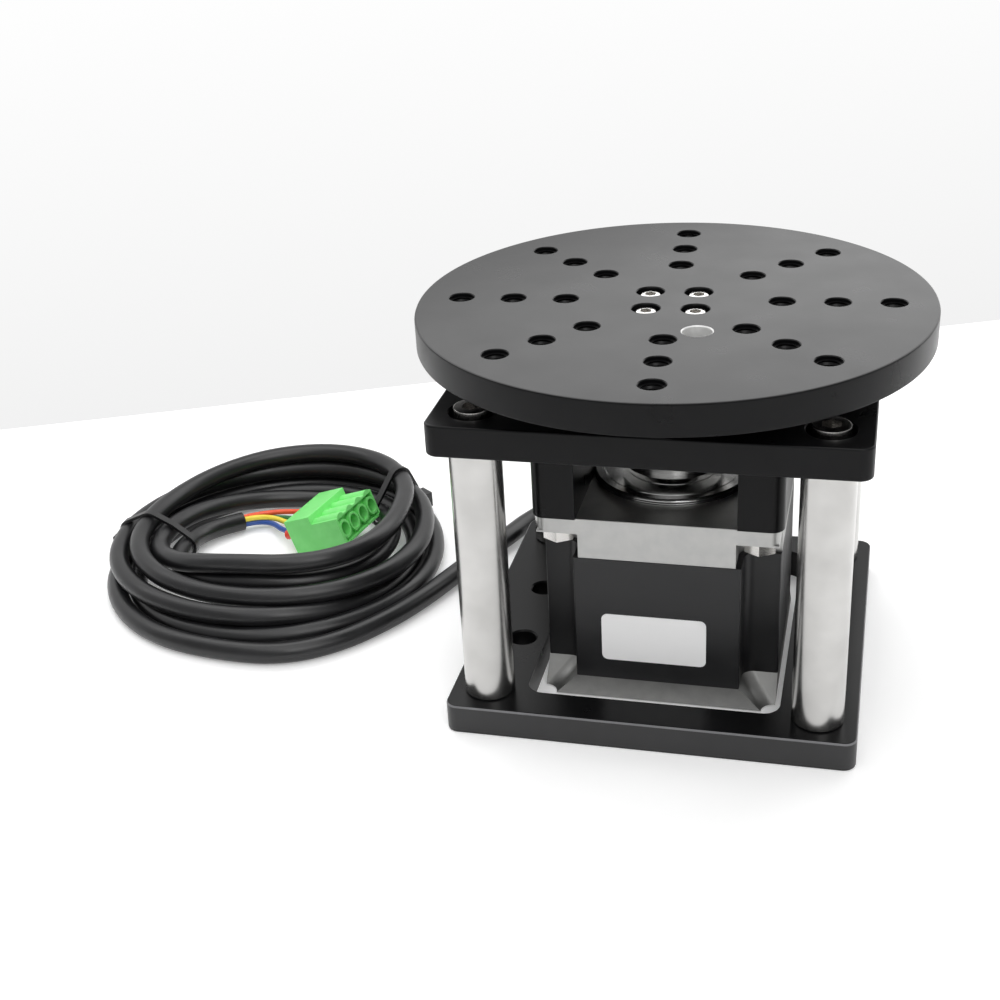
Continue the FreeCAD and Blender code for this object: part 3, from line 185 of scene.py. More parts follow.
lamp("overhead_lamp", (-0.15, -0.1, 0.85), (0, 0, 0.05), 0.9, 0.6, 3.0)
lamp("back_lamp", (-0.04, 0.15, 0.2), (0, 0, 0.09), 0.9, 0.16, 0.8)
lamp("front_lamp", (0.5, -0.9, 1.1), (0, 0, 0.05), 0.8, 0.8, 6.0)
scene.world = bpy.data.worlds.new("studio")
scene.world.use_nodes = True
feed(scene.world.node_tree, scene.world.node_tree.nodes["Background"], Color=linear("#ffffff"), Strength=0.5)

# Base plate: an aluminium plate, milled and black anodised, with a window for the motor
# and four holes that bolt it down. The posts' screws sit in it from below.
MM = 0.001
PLATE_SIDE = 96.0
PLATE_CORNER = 3.0
PLATE_THICKNESS = 7.5
PLATE_RIM = 0.5
WINDOW_WIDTH = 60.0
WINDOW_DEPTH = 78.0
WINDOW_CORNER = 4.0
POST_PLACE = 38.75
BASE_HOLE_PLACE = (36.0, 12.5)
BASE_HOLES_TO_FRONT = 3.0
BASE_HOLE = 3.3
BASE_HOLE_BREAK = 0.4
M5_HOLE = 2.75
BASE_COUNTERBORE = 4.8
BASE_SCREW_SEAT = 5.2
# Cutting tools reach this far past the faces that they cut.
PAST = 1.0
frame_body = "frame"


def surfaced(name, dark, light, rough, metallic=0.0, grain=0.3, bump=0.1, relief=0.02, patch=8.0,
             stretch=(1, 1, 1)):
    """A finish between two close codes and two roughnesses in soft patches, with a fine grain;
    grain, relief and patch are in mm. Gives the material, its node tree and its surface."""
    made, tree, surface = material(name)
    place = add(tree, "ShaderNodeTexCoord").outputs["Object"]
    drawn = add(tree, "ShaderNodeMapping", Vector=place, Scale=stretch).outputs[0]
    fine = add(tree, "ShaderNodeTexNoise", Vector=drawn, Scale=1 / (grain * MM), Detail=5.0).outputs[0]
    soft = add(tree, "ShaderNodeTexNoise", Vector=place, Scale=1 / (patch * MM), Detail=3.0).outputs[0]
    share = add(tree, "ShaderNodeMapRange", Value=soft, From_Min=0.3, From_Max=0.7).outputs[0]
    shade = add(tree, "ShaderNodeMix", {"data_type": "RGBA"}, _0=share, _6=linear(dark), _7=linear(light))
    polish = add(tree, "ShaderNodeMapRange", Value=soft, From_Min=0.3, From_Max=0.7, To_Min=rough[0],
                 To_Max=rough[1])
    uneven = add(tree, "ShaderNodeBump", Height=fine, Strength=bump, Distance=relief * MM)
    feed(tree, surface, Base_Color=shade.outputs[2], Roughness=polish.outputs[0], Metallic=metallic,
         Normal=uneven.outputs[0])
    return made, tree, surface


def mesh_object(name, shape):
    """A mesh object from a bmesh, which it uses up."""
    bmesh.ops.remove_doubles(shape, verts=shape.verts, dist=0.001 * MM)
    bmesh.ops.recalc_face_normals(shape, faces=shape.faces)
    mesh = bpy.data.meshes.new(name)
    shape.to_mesh(mesh)
    shape.free()
    made = bpy.data.objects.new(name, mesh)
    bpy.context.collection.objects.link(made)
    return made


def cut(shape, tools, operation="DIFFERENCE"):
    """The shape with the tools' volumes cut out of it; both are used up."""
    block, cutter = mesh_object("block", shape), mesh_object("cutter", tools)
    step = block.modifiers.new("cut", "BOOLEAN")
    step.object, step.operation, step.solver = cutter, operation, "EXACT"
    step.use_self = True
    result = bmesh.new()
    evaluated = block.evaluated_get(bpy.context.evaluated_depsgraph_get())
    mesh = bpy.data.meshes.new_from_object(evaluated)
    result.from_mesh(mesh)
    bpy.data.meshes.remove(mesh)
    for used in (block, cutter):
        bpy.data.meshes.remove(used.data)
    return result


def finished(name, shape, body, *finishes, sharp=32.0):
    """A piece on one CAD body, shaded smooth except across its real edges."""
    bmesh.ops.remove_doubles(shape, verts=shape.verts, dist=0.001 * MM)
    for face in shape.faces:
        face.smooth = True
    for edge in shape.edges:
        edge.smooth = len(edge.link_faces) == 2 and edge.calc_face_angle(math.pi) < math.radians(sharp)
    piece = mesh_object(name, shape)
    for finish in finishes:
        piece.data.materials.append(finish)
    piece.modifiers.new("flat faces stay flat", "WEIGHTED_NORMAL").keep_sharp = True
    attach(piece, body)
    return piece


def turned(shape, profile, x=0.0, y=0.0, steps=64):
    """Spins (radius, height) corners in mm round an upright axis."""
    corners = [shape.verts.new(((x + radius) * MM, y * MM, height * MM)) for radius, height in profile]
    edges = [shape.edges.new(pair) for pair in zip(corners, corners[1:])]
    bmesh.ops.spin(shape, geom=corners + edges, cent=(x * MM, y * MM, 0), axis=(0, 0, 1), angle=math.tau,
                   steps=steps, use_merge=True)


def outline(shape, width, depth, corner, height, x=0.0, y=0.0):
    """Draws a rectangle with round corners, in mm, in an empty bmesh, and gives its face."""
    place = (Matrix.Translation((x * MM, y * MM, height * MM))
             @ Matrix.Diagonal((width * MM, depth * MM, 1, 1)) @ Matrix.Rotation(math.pi / 4, 4, "Z"))
    made = bmesh.ops.create_circle(shape, cap_ends=True, segments=4, radius=math.sqrt(0.5), matrix=place)
    if corner:
        bmesh.ops.bevel(shape, geom=made["verts"], affect="VERTICES", offset=corner * MM, segments=10,
                        profile=0.5, material=-1)
    return shape.faces[:]


def raised(shape, faces, height):
    """Extrudes faces straight up."""
    grown = bmesh.ops.extrude_face_region(shape, geom=faces)["geom"]
    bmesh.ops.translate(shape, vec=(0, 0, height * MM),
                        verts=[item for item in grown if isinstance(item, bmesh.types.BMVert)])


def block(shape, width, depth, corner, bottom, top, x=0.0, y=0.0, rim=0.0):
    """Upright block with round corners and, if asked, both rims rounded over."""
    fresh = bmesh.new()
    raised(fresh, outline(fresh, width, depth, corner, bottom, x, y), top - bottom)
    bmesh.ops.recalc_face_normals(fresh, faces=fresh.faces)
    if rim:
        rims = [edge for edge in fresh.edges if abs(edge.verts[0].co.z - edge.verts[1].co.z) < 0.01 * MM]
        bmesh.ops.bevel(fresh, geom=rims, affect="EDGES", offset=rim * MM, segments=3, profile=0.5, material=-1)
    mesh = bpy.data.meshes.new("part")
    fresh.to_mesh(mesh)
    fresh.free()
    shape.from_mesh(mesh)
    bpy.data.meshes.remove(mesh)


def corners_of(half_x, half_y):
    """The four places that lie this far from the axis each way."""
    return [(sign_x * half_x, sign_y * half_y) for sign_x in (-1, 1) for sign_y in (-1, 1)]


# Blasted and dyed black: a dull, very dark grey that mirrors the wall where it is seen flat.
black_anodised, tree, surface = surfaced("black_anodised_aluminium", "#0c0c0d", "#101011", (0.27, 0.32),
                                         grain=0.4, bump=0.12, patch=12.0)
feed(tree, surface, Specular_IOR_Level=0.16)
# The sides are painted a shade paler as light falling on them, and the broken top edge carries a grey line of painted
# highlight.
black_side_painted_light = surfaced("black_anodised_side_painted_light", "#202021", "#252526", (0.34, 0.4), grain=0.4, patch=12.0)[0]
# A grey painted highlight along the plate's rounded top rim.
black_edge_painted_highlight = surfaced("black_anodised_edge_painted_highlight", "#6a6a6c", "#747476", (0.4, 0.46), grain=0.4, patch=6.0)[0]

shape = bmesh.new()
block(shape, PLATE_SIDE, PLATE_SIDE, PLATE_CORNER, 0, PLATE_THICKNESS, rim=PLATE_RIM)
tools = bmesh.new()
block(tools, WINDOW_WIDTH, WINDOW_DEPTH, WINDOW_CORNER, -PAST, PLATE_THICKNESS + PAST)
mouth = BASE_HOLE + BASE_HOLE_BREAK
for x, y in corners_of(*BASE_HOLE_PLACE):
    turned(tools, [(0, -PAST), (mouth, -PAST), (mouth, 0), (BASE_HOLE, BASE_HOLE_BREAK),
                   (BASE_HOLE, PLATE_THICKNESS - BASE_HOLE_BREAK), (mouth, PLATE_THICKNESS),
                   (mouth, PLATE_THICKNESS + PAST), (0, PLATE_THICKNESS + PAST)], x, y - BASE_HOLES_TO_FRONT)
for x, y in corners_of(POST_PLACE, POST_PLACE):
    turned(tools, [(0, -PAST), (BASE_COUNTERBORE, -PAST), (BASE_COUNTERBORE, BASE_SCREW_SEAT),
                   (M5_HOLE, BASE_SCREW_SEAT), (M5_HOLE, PLATE_THICKNESS + PAST), (0, PLATE_THICKNESS + PAST)], x, y)
shape = cut(shape, tools)
shape.normal_update()
for face in shape.faces:
    middle = face.calc_center_median() / MM
    # Outer upright faces take the side finish, a paler copy of the black that stands for painted light.
    if max(abs(middle.x), abs(middle.y)) > PLATE_SIDE / 2 - PLATE_CORNER:
        # The rounded top rim gets the grey finish, a painted highlight line.
        painted_highlight_rim = middle.z > PLATE_THICKNESS - PLATE_RIM and face.normal.z < 0.95
        upright = abs(face.normal.z) < 0.1
        face.material_index = 2 if painted_highlight_rim else int(upright)
base_plate = finished("base_plate_milled", shape, frame_body, black_anodised, black_side_painted_light, black_edge_painted_highlight)
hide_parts("base_plate")

# Posts: four round bars turned from steel, polished bright and tapped M5 at both ends.
# They stand on the base plate and carry the top plate, and one screw holds each end.
POST_RADIUS = 6.0
POST_BOTTOM = PLATE_THICKNESS
POST_TOP = 73.0
post_places = corners_of(POST_PLACE, POST_PLACE)


def bar(radius, bottom, top):
    """Profile of a solid round bar whose edges are rounded over by half a millimetre."""
    return [(0, bottom), (radius - 0.5, bottom), (radius - 0.15, bottom + 0.15), (radius, bottom + 0.5),
            (radius, top - 0.5), (radius - 0.15, top - 0.15), (radius - 0.5, top), (0, top)]


# Polished bars: bright, with rings from turning that the polish has nearly taken off.
polished_steel = surfaced("polished_steel", "#b9b8b6", "#c8c7c5", (0.19, 0.26), 1.0, bump=0.05, relief=0.01,
                          patch=9.0, stretch=(0.05, 0.05, 1))[0]

shape = bmesh.new()
for x, y in post_places:
    turned(shape, bar(POST_RADIUS, POST_BOTTOM, POST_TOP), x, y)
posts = finished("posts_turned", shape, frame_body, polished_steel, sharp=50)
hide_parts("post_front_left", "post_back_left", "post_front_right", "post_back_right")

# Top plate: the base plate's twin, bored for the upper bearing and counterbored
# for the posts' screws and for the four long screws that hold the motor.
TOP_BOTTOM = POST_TOP
TOP_FACE = 80.5
HUB_BORE = 14.0
BEARING_RADIUS = 16.0
UPPER_BEARING_SEAT = 73.5
TOP_COUNTERBORE = 5.4
TOP_COUNTERBORE_BREAK = 0.2
TOP_SCREW_SEAT = 76.7
MOTOR_SCREW_PLACE = 23.57
MOTOR_SCREW_SEAT = 76.5
MOTOR_COUNTERBORE = 4.05
M4_HOLE = 2.25
RETAINER_CIRCLE = 21.0
M3_RADIUS = 1.5
motor_screw_places = corners_of(MOTOR_SCREW_PLACE, MOTOR_SCREW_PLACE)

shape = bmesh.new()
block(shape, PLATE_SIDE, PLATE_SIDE, PLATE_CORNER, TOP_BOTTOM, TOP_FACE, rim=PLATE_RIM)
tools = bmesh.new()
low, high = TOP_BOTTOM - PAST, TOP_FACE + PAST
mouth = TOP_COUNTERBORE + TOP_COUNTERBORE_BREAK
turned(tools, [(0, low), (HUB_BORE, low), (HUB_BORE, UPPER_BEARING_SEAT), (BEARING_RADIUS, UPPER_BEARING_SEAT),
               (BEARING_RADIUS, high), (0, high)])
for x, y in post_places:
    turned(tools, [(0, low), (M5_HOLE, low), (M5_HOLE, TOP_SCREW_SEAT), (TOP_COUNTERBORE, TOP_SCREW_SEAT),
                   (TOP_COUNTERBORE, TOP_FACE - TOP_COUNTERBORE_BREAK), (mouth, TOP_FACE), (mouth, high), (0, high)],
           x, y)
for x, y in motor_screw_places:
    turned(tools, [(0, low), (M4_HOLE, low), (M4_HOLE, MOTOR_SCREW_SEAT), (MOTOR_COUNTERBORE, MOTOR_SCREW_SEAT),
                   (MOTOR_COUNTERBORE, high), (0, high)], x, y)
for x, y in ((RETAINER_CIRCLE, 0), (-RETAINER_CIRCLE, 0), (0, RETAINER_CIRCLE), (0, -RETAINER_CIRCLE)):
    turned(tools, [(0, low), (M3_RADIUS, low), (M3_RADIUS, high), (0, high)], x, y, steps=24)
top_plate = finished("top_plate_milled", cut(shape, tools), frame_body, black_anodised)
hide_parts("top_plate")

# Screws: socket cap screws of stainless steel, with a knurled head and a hexagon socket.
# Those of the posts are M5 and those of the motor M4, which reach its flange's nuts.
POST_SCREW_LENGTH = 14
MOTOR_SCREW_LENGTH = 35
M5_SCREW = {"shank": 2.5, "head": 4.25, "tall": 5.0, "flats": 4.0}
M4_SCREW = {"shank": 2.0, "head": 3.5, "tall": 4.0, "flats": 3.0}

# Bright stainless with the dull grain of rolled and headed screws.
stainless = surfaced("stainless_screw", "#cccac7", "#d4d2cf", (0.2, 0.26), 1.0, bump=0.04, relief=0.01,
                     patch=2.0)[0]


def cap_screws(name, node, body, places, seat, length, shank, head, tall, flats, sides=1, ribs=36):
    """Socket cap screws whose heads rest at one height; sides of -1 hangs them upside down."""
    shape, sockets = bmesh.new(), bmesh.new()
    for x, y in places:
        profile = [(0, -length), (shank - 0.4, -length), (shank, 0.4 - length), (shank, 0), (head, 0),
                   (head, tall - 0.45), (head - 0.12, tall - 0.15), (head - 0.4, tall), (0, tall)]
        turned(shape, [(radius, seat + sides * height) for radius, height in profile], x, y, steps=2 * ribs)
        bmesh.ops.create_cone(sockets, cap_ends=True, segments=6, radius1=flats / math.sqrt(3) * MM,
                              radius2=flats / math.sqrt(3) * MM, depth=tall * MM,
                              matrix=Matrix.Translation((x * MM, y * MM, (seat + sides * tall) * MM)))
    shape = cut(shape, sockets)
    for vert in shape.verts:
        near = min(places, key=lambda place: math.hypot(vert.co.x / MM - place[0], vert.co.y / MM - place[1]))
        x, y = vert.co.x / MM - near[0], vert.co.y / MM - near[1]
        height = (vert.co.z / MM - seat) * sides
        if 0.2 < height < tall - 0.4 and abs(math.hypot(x, y) - head) < 0.02:
            # Every other corner of the knurled side is drawn in.
            pull = 1 - 0.03 * (round(math.degrees(math.atan2(y, x)) * ribs / 180) % 2)
            vert.co.x, vert.co.y = (near[0] + x * pull) * MM, (near[1] + y * pull) * MM
    screws = finished(name, shape, body, stainless)
    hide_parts(node)


cap_screws("top_screws_m5", "top_post_screws", frame_body, post_places, TOP_SCREW_SEAT, POST_SCREW_LENGTH,
           **M5_SCREW)
cap_screws("base_screws_m5", "bottom_post_screws", frame_body, post_places, BASE_SCREW_SEAT, POST_SCREW_LENGTH,
           **M5_SCREW, sides=-1)
cap_screws("motor_screws_m4", "motor_screws", frame_body, motor_screw_places, MOTOR_SCREW_SEAT,
           MOTOR_SCREW_LENGTH, **M4_SCREW)

# Bracket: a black anodised block under the top plate, cut through from front to back,
# with a round boss that holds the lower bearing over the motor's pilot.
BRACKET_SIDE = 58.4
BRACKET_BOTTOM = 49.5
BRACKET_CORNER = 3.0
BRACKET_OPENING = 37.4
BRACKET_OPENING_TOP = 66.0
BOSS_RADIUS = 21.0
BOSS_BOTTOM = 60.0
LOWER_BEARING_SEAT = 67.0
PILOT_SOCKET = (19.1, 51.5)

shape = bmesh.new()
block(shape, BRACKET_SIDE, BRACKET_SIDE, BRACKET_CORNER, BRACKET_BOTTOM, TOP_BOTTOM, rim=0.3)
opening = bmesh.new()
block(opening, BRACKET_OPENING, BRACKET_SIDE + 2 * PAST, 0, BRACKET_BOTTOM - PAST, BRACKET_OPENING_TOP)
boss = bmesh.new()
high = BRACKET_OPENING_TOP + PAST
turned(boss, [(0, BOSS_BOTTOM), (BOSS_RADIUS, BOSS_BOTTOM), (BOSS_RADIUS, high), (0, high)], steps=96)
socket = bmesh.new()
turned(socket, [(0, BRACKET_BOTTOM - PAST), (PILOT_SOCKET[0], BRACKET_BOTTOM - PAST), PILOT_SOCKET,
                (0, PILOT_SOCKET[1])], steps=96)
bores = bmesh.new()
turned(bores, [(0, BOSS_BOTTOM - PAST), (BEARING_RADIUS, BOSS_BOTTOM - PAST), (BEARING_RADIUS, LOWER_BEARING_SEAT),
               (HUB_BORE, LOWER_BEARING_SEAT), (HUB_BORE, TOP_BOTTOM + PAST), (0, TOP_BOTTOM + PAST)], steps=96)
for x, y in motor_screw_places:
    turned(bores, [(0, BRACKET_BOTTOM - PAST), (M4_HOLE, BRACKET_BOTTOM - PAST), (M4_HOLE, TOP_BOTTOM + PAST),
                   (0, TOP_BOTTOM + PAST)], x, y, steps=32)
shape = cut(cut(cut(shape, cut(opening, boss)), socket), bores)
bracket = finished("bracket_milled", shape, frame_body, black_anodised)
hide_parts("motor_bracket")

# Motor flange: die-cast aluminium, faced and turned, with ears for the four screws,
# a skirt with filleted corner notches below, and a pilot with turned rings on top.
FLANGE_SIDE = 56.4
FLANGE_BOTTOM = 45.4
FLANGE_CORNER = 2.0
FLANGE_TOP = BRACKET_BOTTOM
SKIRT_BOTTOM = 39.1
SKIRT_ARM = 18.4
NOTCH_FILLET = 3.0
# (radius, height) of the pilot's turned rings and of the bores below them, which hold
# the motor's bearing and shaft.
PILOT = [(0, 48), (19.05, 48), (19.05, 49.6), (18.85, 49.8), (19.05, 50.05), (18.85, 50.3), (19.05, 50.55),
         (18.85, 50.9), (18.6, 51.1), (16.8, 51.1), (16.65, 50.8), (16.5, 51.1), (11.3, 51.1), (11.15, 50.8),
         (11, 51.1), (0, 51.1)]
FLANGE_BORES = [(0, 38), (23.2, 38), (23.2, 44), (13.5, 44), (13.5, 43), (11, 43), (11, 50.1), (5.5, 50.1),
                (5.5, 52), (0, 52)]

# A blasted casting: pale grey, even and matt, with a grain of about 0.25 mm.
cast_aluminium = surfaced("cast_aluminium_blasted", "#b0b0af", "#bcbcba", (0.42, 0.48), 1.0, grain=0.25, bump=0.3,
                          relief=0.03, patch=4.0)[0]
# Bare aluminium: bright, with the rings that the lathe leaves.
bare_aluminium = surfaced("bare_turned_aluminium", "#d2d2d1", "#dededd", (0.16, 0.22), 1.0, bump=0.1,
                          stretch=(0.1, 0.1, 1))[0]


def notches(arm, bottom, top):
    """Tools that leave a filleted square notch in each corner of the motor."""
    tools = bmesh.new()
    reach = 2 * (FLANGE_SIDE / 2 - arm)
    for x, y in corners_of(FLANGE_SIDE / 2, FLANGE_SIDE / 2):
        block(tools, reach, reach, NOTCH_FILLET, bottom, top, x, y)
    return tools


ears = bmesh.new()
block(ears, FLANGE_SIDE, FLANGE_SIDE, FLANGE_CORNER, FLANGE_BOTTOM, FLANGE_TOP, rim=0.3)
shape = bmesh.new()
block(shape, FLANGE_SIDE, FLANGE_SIDE, 0, SKIRT_BOTTOM, FLANGE_BOTTOM + 0.5, rim=0.2)
shape = cut(cut(shape, notches(SKIRT_ARM, SKIRT_BOTTOM - PAST, FLANGE_BOTTOM)), ears, "UNION")
pilot = bmesh.new()
turned(pilot, PILOT, steps=96)
shape = cut(shape, pilot, "UNION")
tools = bmesh.new()
turned(tools, FLANGE_BORES, steps=96)
for x, y in motor_screw_places:
    turned(tools, [(0, FLANGE_BOTTOM - PAST), (M4_HOLE, FLANGE_BOTTOM - PAST), (M4_HOLE, FLANGE_TOP + PAST),
                   (0, FLANGE_TOP + PAST)], x, y, steps=32)
shape = cut(shape, tools)
for face in shape.faces:
    face.material_index = int(face.calc_center_median().z > (FLANGE_TOP + 0.02) * MM)
flange = finished("motor_flange_cast", shape, frame_body, cast_aluminium, bare_aluminium)
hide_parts("motor_front_cap")

# Nuts under the flange's ears: hexagonal M4 nuts of stainless steel, with both ends
# chamfered, on the ends of the motor's screws.
NUT_RADIUS = 4.04
NUT_HEIGHT = 3.2
NUT_TOP = FLANGE_BOTTOM
NUT_CHAMFER = 0.25
M4_RADIUS = 2.0

low, high = NUT_TOP - NUT_HEIGHT - PAST, NUT_TOP + PAST
shape, tools = bmesh.new(), bmesh.new()
for x, y in motor_screw_places:
    bmesh.ops.create_cone(shape, cap_ends=True, segments=6, radius1=NUT_RADIUS * MM, radius2=NUT_RADIUS * MM,
                          depth=NUT_HEIGHT * MM,
                          matrix=Matrix.Translation((x * MM, y * MM, (NUT_TOP - NUT_HEIGHT / 2) * MM)))
    turned(tools, [(0, low), (M4_RADIUS, low), (M4_RADIUS, high), (0, high)], x, y, steps=32)
bmesh.ops.bevel(shape, geom=[edge for edge in shape.edges if abs(edge.verts[0].co.z - edge.verts[1].co.z) < 1e-6],
                affect="EDGES", offset=NUT_CHAMFER * MM, segments=1, profile=0.5, material=-1)
nuts = finished("flange_nuts_m4", cut(shape, tools), frame_body, stainless)
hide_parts("flange_nuts")

# Stator: a stack of iron sheets, pressed together and painted satin black, with a
# filleted notch down each corner. The windings stand inside its bore.
STATOR_BOTTOM = 6.2
STATOR_ARM = 19.7
STATOR_BORE = 24.4
STATOR_EDGE = 0.4
SHEET_THICKNESS = 0.5

# Satin black paint, through which the sheets' edges show as lines 0.5 mm apart.
black_paint, tree, surface = surfaced("black_stator_paint", "#101012", "#151517", (0.38, 0.46), grain=0.6,
                                      relief=0.03, patch=6.0)
place = add(tree, "ShaderNodeTexCoord").outputs["Object"]
lines = add(tree, "ShaderNodeTexWave", {"bands_direction": "Z"}, Vector=place,
            Scale=1 / (SHEET_THICKNESS * MM) / math.tau, Distortion=0.4)
sheets = add(tree, "ShaderNodeBump", Height=lines.outputs["Fac"], Strength=0.12, Distance=0.03 * MM,
             Normal=surface.inputs["Normal"].links[0].from_socket)
feed(tree, surface, Normal=sheets.outputs[0])

shape = bmesh.new()
block(shape, FLANGE_SIDE, FLANGE_SIDE, 0, STATOR_BOTTOM, SKIRT_BOTTOM)
low, high = STATOR_BOTTOM - PAST, SKIRT_BOTTOM + PAST
inside = bmesh.new()
turned(inside, [(0, low), (STATOR_BORE, low), (STATOR_BORE, high), (0, high)], steps=96)
shape = cut(shape, notches(STATOR_ARM, low, high))
full_height = (SKIRT_BOTTOM - STATOR_BOTTOM - PAST) * MM
upright = [edge for edge in shape.edges if abs(edge.verts[0].co.z - edge.verts[1].co.z) > full_height
           and edge.calc_face_angle(0) > math.radians(70)]
bmesh.ops.bevel(shape, geom=upright, affect="EDGES", offset=STATOR_EDGE * MM, segments=3, profile=0.5, material=-1)
stator_skin = finished("stator_painted", cut(shape, inside), frame_body, black_paint)
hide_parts("motor_stator")

# Label: a white paper sticker with round corners, punched from a sheet and stuck on
# the front of the motor.
LABEL_WIDTH = 25.0
LABEL_HEIGHT = 12.7
LABEL_CORNER = 1.5
LABEL_THICKNESS = 0.15
LABEL_PLACE = (-0.7, 18.0)

# Matt white paper with short fibres.
label_paper = surfaced("white_label_paper", "#fbfbfb", "#fefefe", (0.5, 0.6), bump=0.05, relief=0.01, patch=20.0)[0]
shape = bmesh.new()
raised(shape, outline(shape, LABEL_WIDTH, LABEL_HEIGHT, LABEL_CORNER, 0), LABEL_THICKNESS)
bmesh.ops.transform(shape, verts=shape.verts,
                    matrix=Matrix.Translation((LABEL_PLACE[0] * MM, -FLANGE_SIDE / 2 * MM, LABEL_PLACE[1] * MM))
                    @ Matrix.Rotation(math.pi / 2, 4, "X"))
label = finished("label_paper", shape, frame_body, label_paper)
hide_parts("motor_label")

# Disc: turned from thick aluminium plate and black anodised, with three circles of
# eight tapped holes, four screws to the hub and one hole for the driver.
DISC_RADIUS = 60.0
DISC_BOTTOM = 86.0
DISC_TOP = 93.5
DISC_TURN = 3.3
HOLE_CIRCLES = (25.0, 37.5, 50.0)
HOLE_RADIUS = 2.5
HOLE_BREAK = 0.4
MOUTH_RADIUS = 3.0
MOUTH_DEPTH = 0.9
MOUTH_SLOPE = 0.1
MOUTH_BREAK = 0.2
THREAD_RADIUS = 2.85
THREAD_PITCH = 1.0
THREAD_START = 0.5
HUB_SCREW_CIRCLE = 8.0
HUB_SCREW_SEAT = 90.1
HUB_SCREW_LENGTH = 8
HUB_COUNTERBORE = 3.3
HUB_SPIGOT = (6.0, 88.0)
HUB_SCREW = {"shank": M3_RADIUS, "head": 2.4, "tall": 2.8, "flats": 2.5}
M3_HOLE = 1.75
DRIVER_HOLE = 3.4
DRIVER_HOLE_BREAK = 0.25
DRIVER_HOLE_ANGLE = -67
table_body = "turntable"

# Bare aluminium from the drill: pale and dull, in the one hole that was drilled after dyeing.
drilled_aluminium = surfaced("bare_drilled_aluminium", "#d8d8d7", "#e4e4e3", (0.45, 0.55), 0.4, patch=2.0)[0]


def on_circle(radius, degrees):
    """The place at one angle of a circle round the table's axis."""
    return radius * math.cos(math.radians(degrees)), radius * math.sin(math.radians(degrees))


low, high = DISC_BOTTOM - PAST, DISC_TOP + PAST
shape = bmesh.new()
turned(shape, bar(DISC_RADIUS, DISC_BOTTOM, DISC_TOP), steps=192)
thread = [(0, low), (HOLE_RADIUS + HOLE_BREAK, low), (HOLE_RADIUS + HOLE_BREAK, DISC_BOTTOM),
          (HOLE_RADIUS, DISC_BOTTOM + HOLE_BREAK)]
thread_top = DISC_TOP - MOUTH_DEPTH - MOUTH_SLOPE
for ridge in range(int((thread_top - DISC_BOTTOM) / THREAD_PITCH)):
    start = DISC_BOTTOM + THREAD_START + ridge * THREAD_PITCH
    thread += [(HOLE_RADIUS, start), (THREAD_RADIUS, start + THREAD_PITCH / 2)]
thread += [(HOLE_RADIUS, thread_top), (MOUTH_RADIUS, DISC_TOP - MOUTH_DEPTH), (MOUTH_RADIUS, DISC_TOP - MOUTH_BREAK),
           (MOUTH_RADIUS + MOUTH_BREAK, DISC_TOP), (MOUTH_RADIUS + MOUTH_BREAK, high), (0, high)]
tools = bmesh.new()
for circle in HOLE_CIRCLES:
    for line in range(8):
        turned(tools, thread, *on_circle(circle, DISC_TURN + 45 * line), steps=32)
driver_hole = on_circle(RETAINER_CIRCLE, DRIVER_HOLE_ANGLE)
mouth = DRIVER_HOLE + DRIVER_HOLE_BREAK
turned(tools, [(0, low), (DRIVER_HOLE + HOLE_BREAK, low), (DRIVER_HOLE + HOLE_BREAK, DISC_BOTTOM),
               (DRIVER_HOLE, DISC_BOTTOM + HOLE_BREAK), (DRIVER_HOLE, DISC_TOP - DRIVER_HOLE_BREAK),
               (mouth, DISC_TOP), (mouth, high), (0, high)], *driver_hole, steps=48)
turned(tools, [(0, low), (HUB_SPIGOT[0], low), HUB_SPIGOT, (0, HUB_SPIGOT[1])])
hub_screw_places = [on_circle(HUB_SCREW_CIRCLE, DISC_TURN + 45 + 90 * line) for line in range(4)]
for x, y in hub_screw_places:
    turned(tools, [(0, low), (M3_HOLE, low), (M3_HOLE, HUB_SCREW_SEAT), (HUB_COUNTERBORE, HUB_SCREW_SEAT),
                   (HUB_COUNTERBORE, DISC_TOP - MOUTH_BREAK), (HUB_COUNTERBORE + MOUTH_BREAK, DISC_TOP),
                   (HUB_COUNTERBORE + MOUTH_BREAK, high), (0, high)], x, y, steps=48)
shape = cut(shape, tools)
for face in shape.faces:
    middle = face.calc_center_median() / MM
    away = math.hypot(middle.x - driver_hole[0], middle.y - driver_hole[1])
    face.material_index = int(away < DRIVER_HOLE + 0.35)
disc = finished("disc_turned", shape, table_body, black_anodised, drilled_aluminium)
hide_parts("table_disc")
cap_screws("hub_screws_m3", "hub_screws", table_body, hub_screw_places, HUB_SCREW_SEAT, HUB_SCREW_LENGTH,
           **HUB_SCREW, ribs=24)

# Inner parts, as the CAD has them: hub, clamp, bearings, rotor and windings. Each keeps
# its own mesh and gets the finish of the real part.
# Black with the rings of the lathe.
hub_aluminium = surfaced("black_anodised_turned", "#161617", "#1d1d1e", (0.3, 0.38), bump=0.15,
                         stretch=(0.1, 0.1, 1))[0]
# Ground steel: nearly a mirror.
bearing_steel = surfaced("ground_bearing_steel", "#c4c3c1", "#cccbc9", (0.16, 0.24), 1.0, grain=0.2, bump=0.05,
                         relief=0.01)[0]
# Pressed sheet steel, yellowish and a little dull.
cage_steel = surfaced("pressed_cage_steel", "#a19c93", "#b0aba2", (0.3, 0.45), 1.0, grain=0.5)[0]
# Punched iron sheets, bare and grey.
rotor_iron = surfaced("punched_rotor_iron", "#6f6d6a", "#87847f", (0.4, 0.5), 1.0, grain=0.5, bump=0.2, patch=2.0)[0]
# Pressed magnet: dark, dull and slightly brown.
magnet_black = surfaced("pressed_magnet", "#2e2d2c", "#3b3938", (0.55, 0.65), grain=0.4, bump=0.3, relief=0.03)[0]
# The rear cap's casting is coarser than the flange's.
cast_cap = surfaced("cast_aluminium_cap", "#8a8a89", "#989896", (0.4, 0.5), 1.0, grain=0.4, bump=0.4, relief=0.05,
                    patch=4.0)[0]
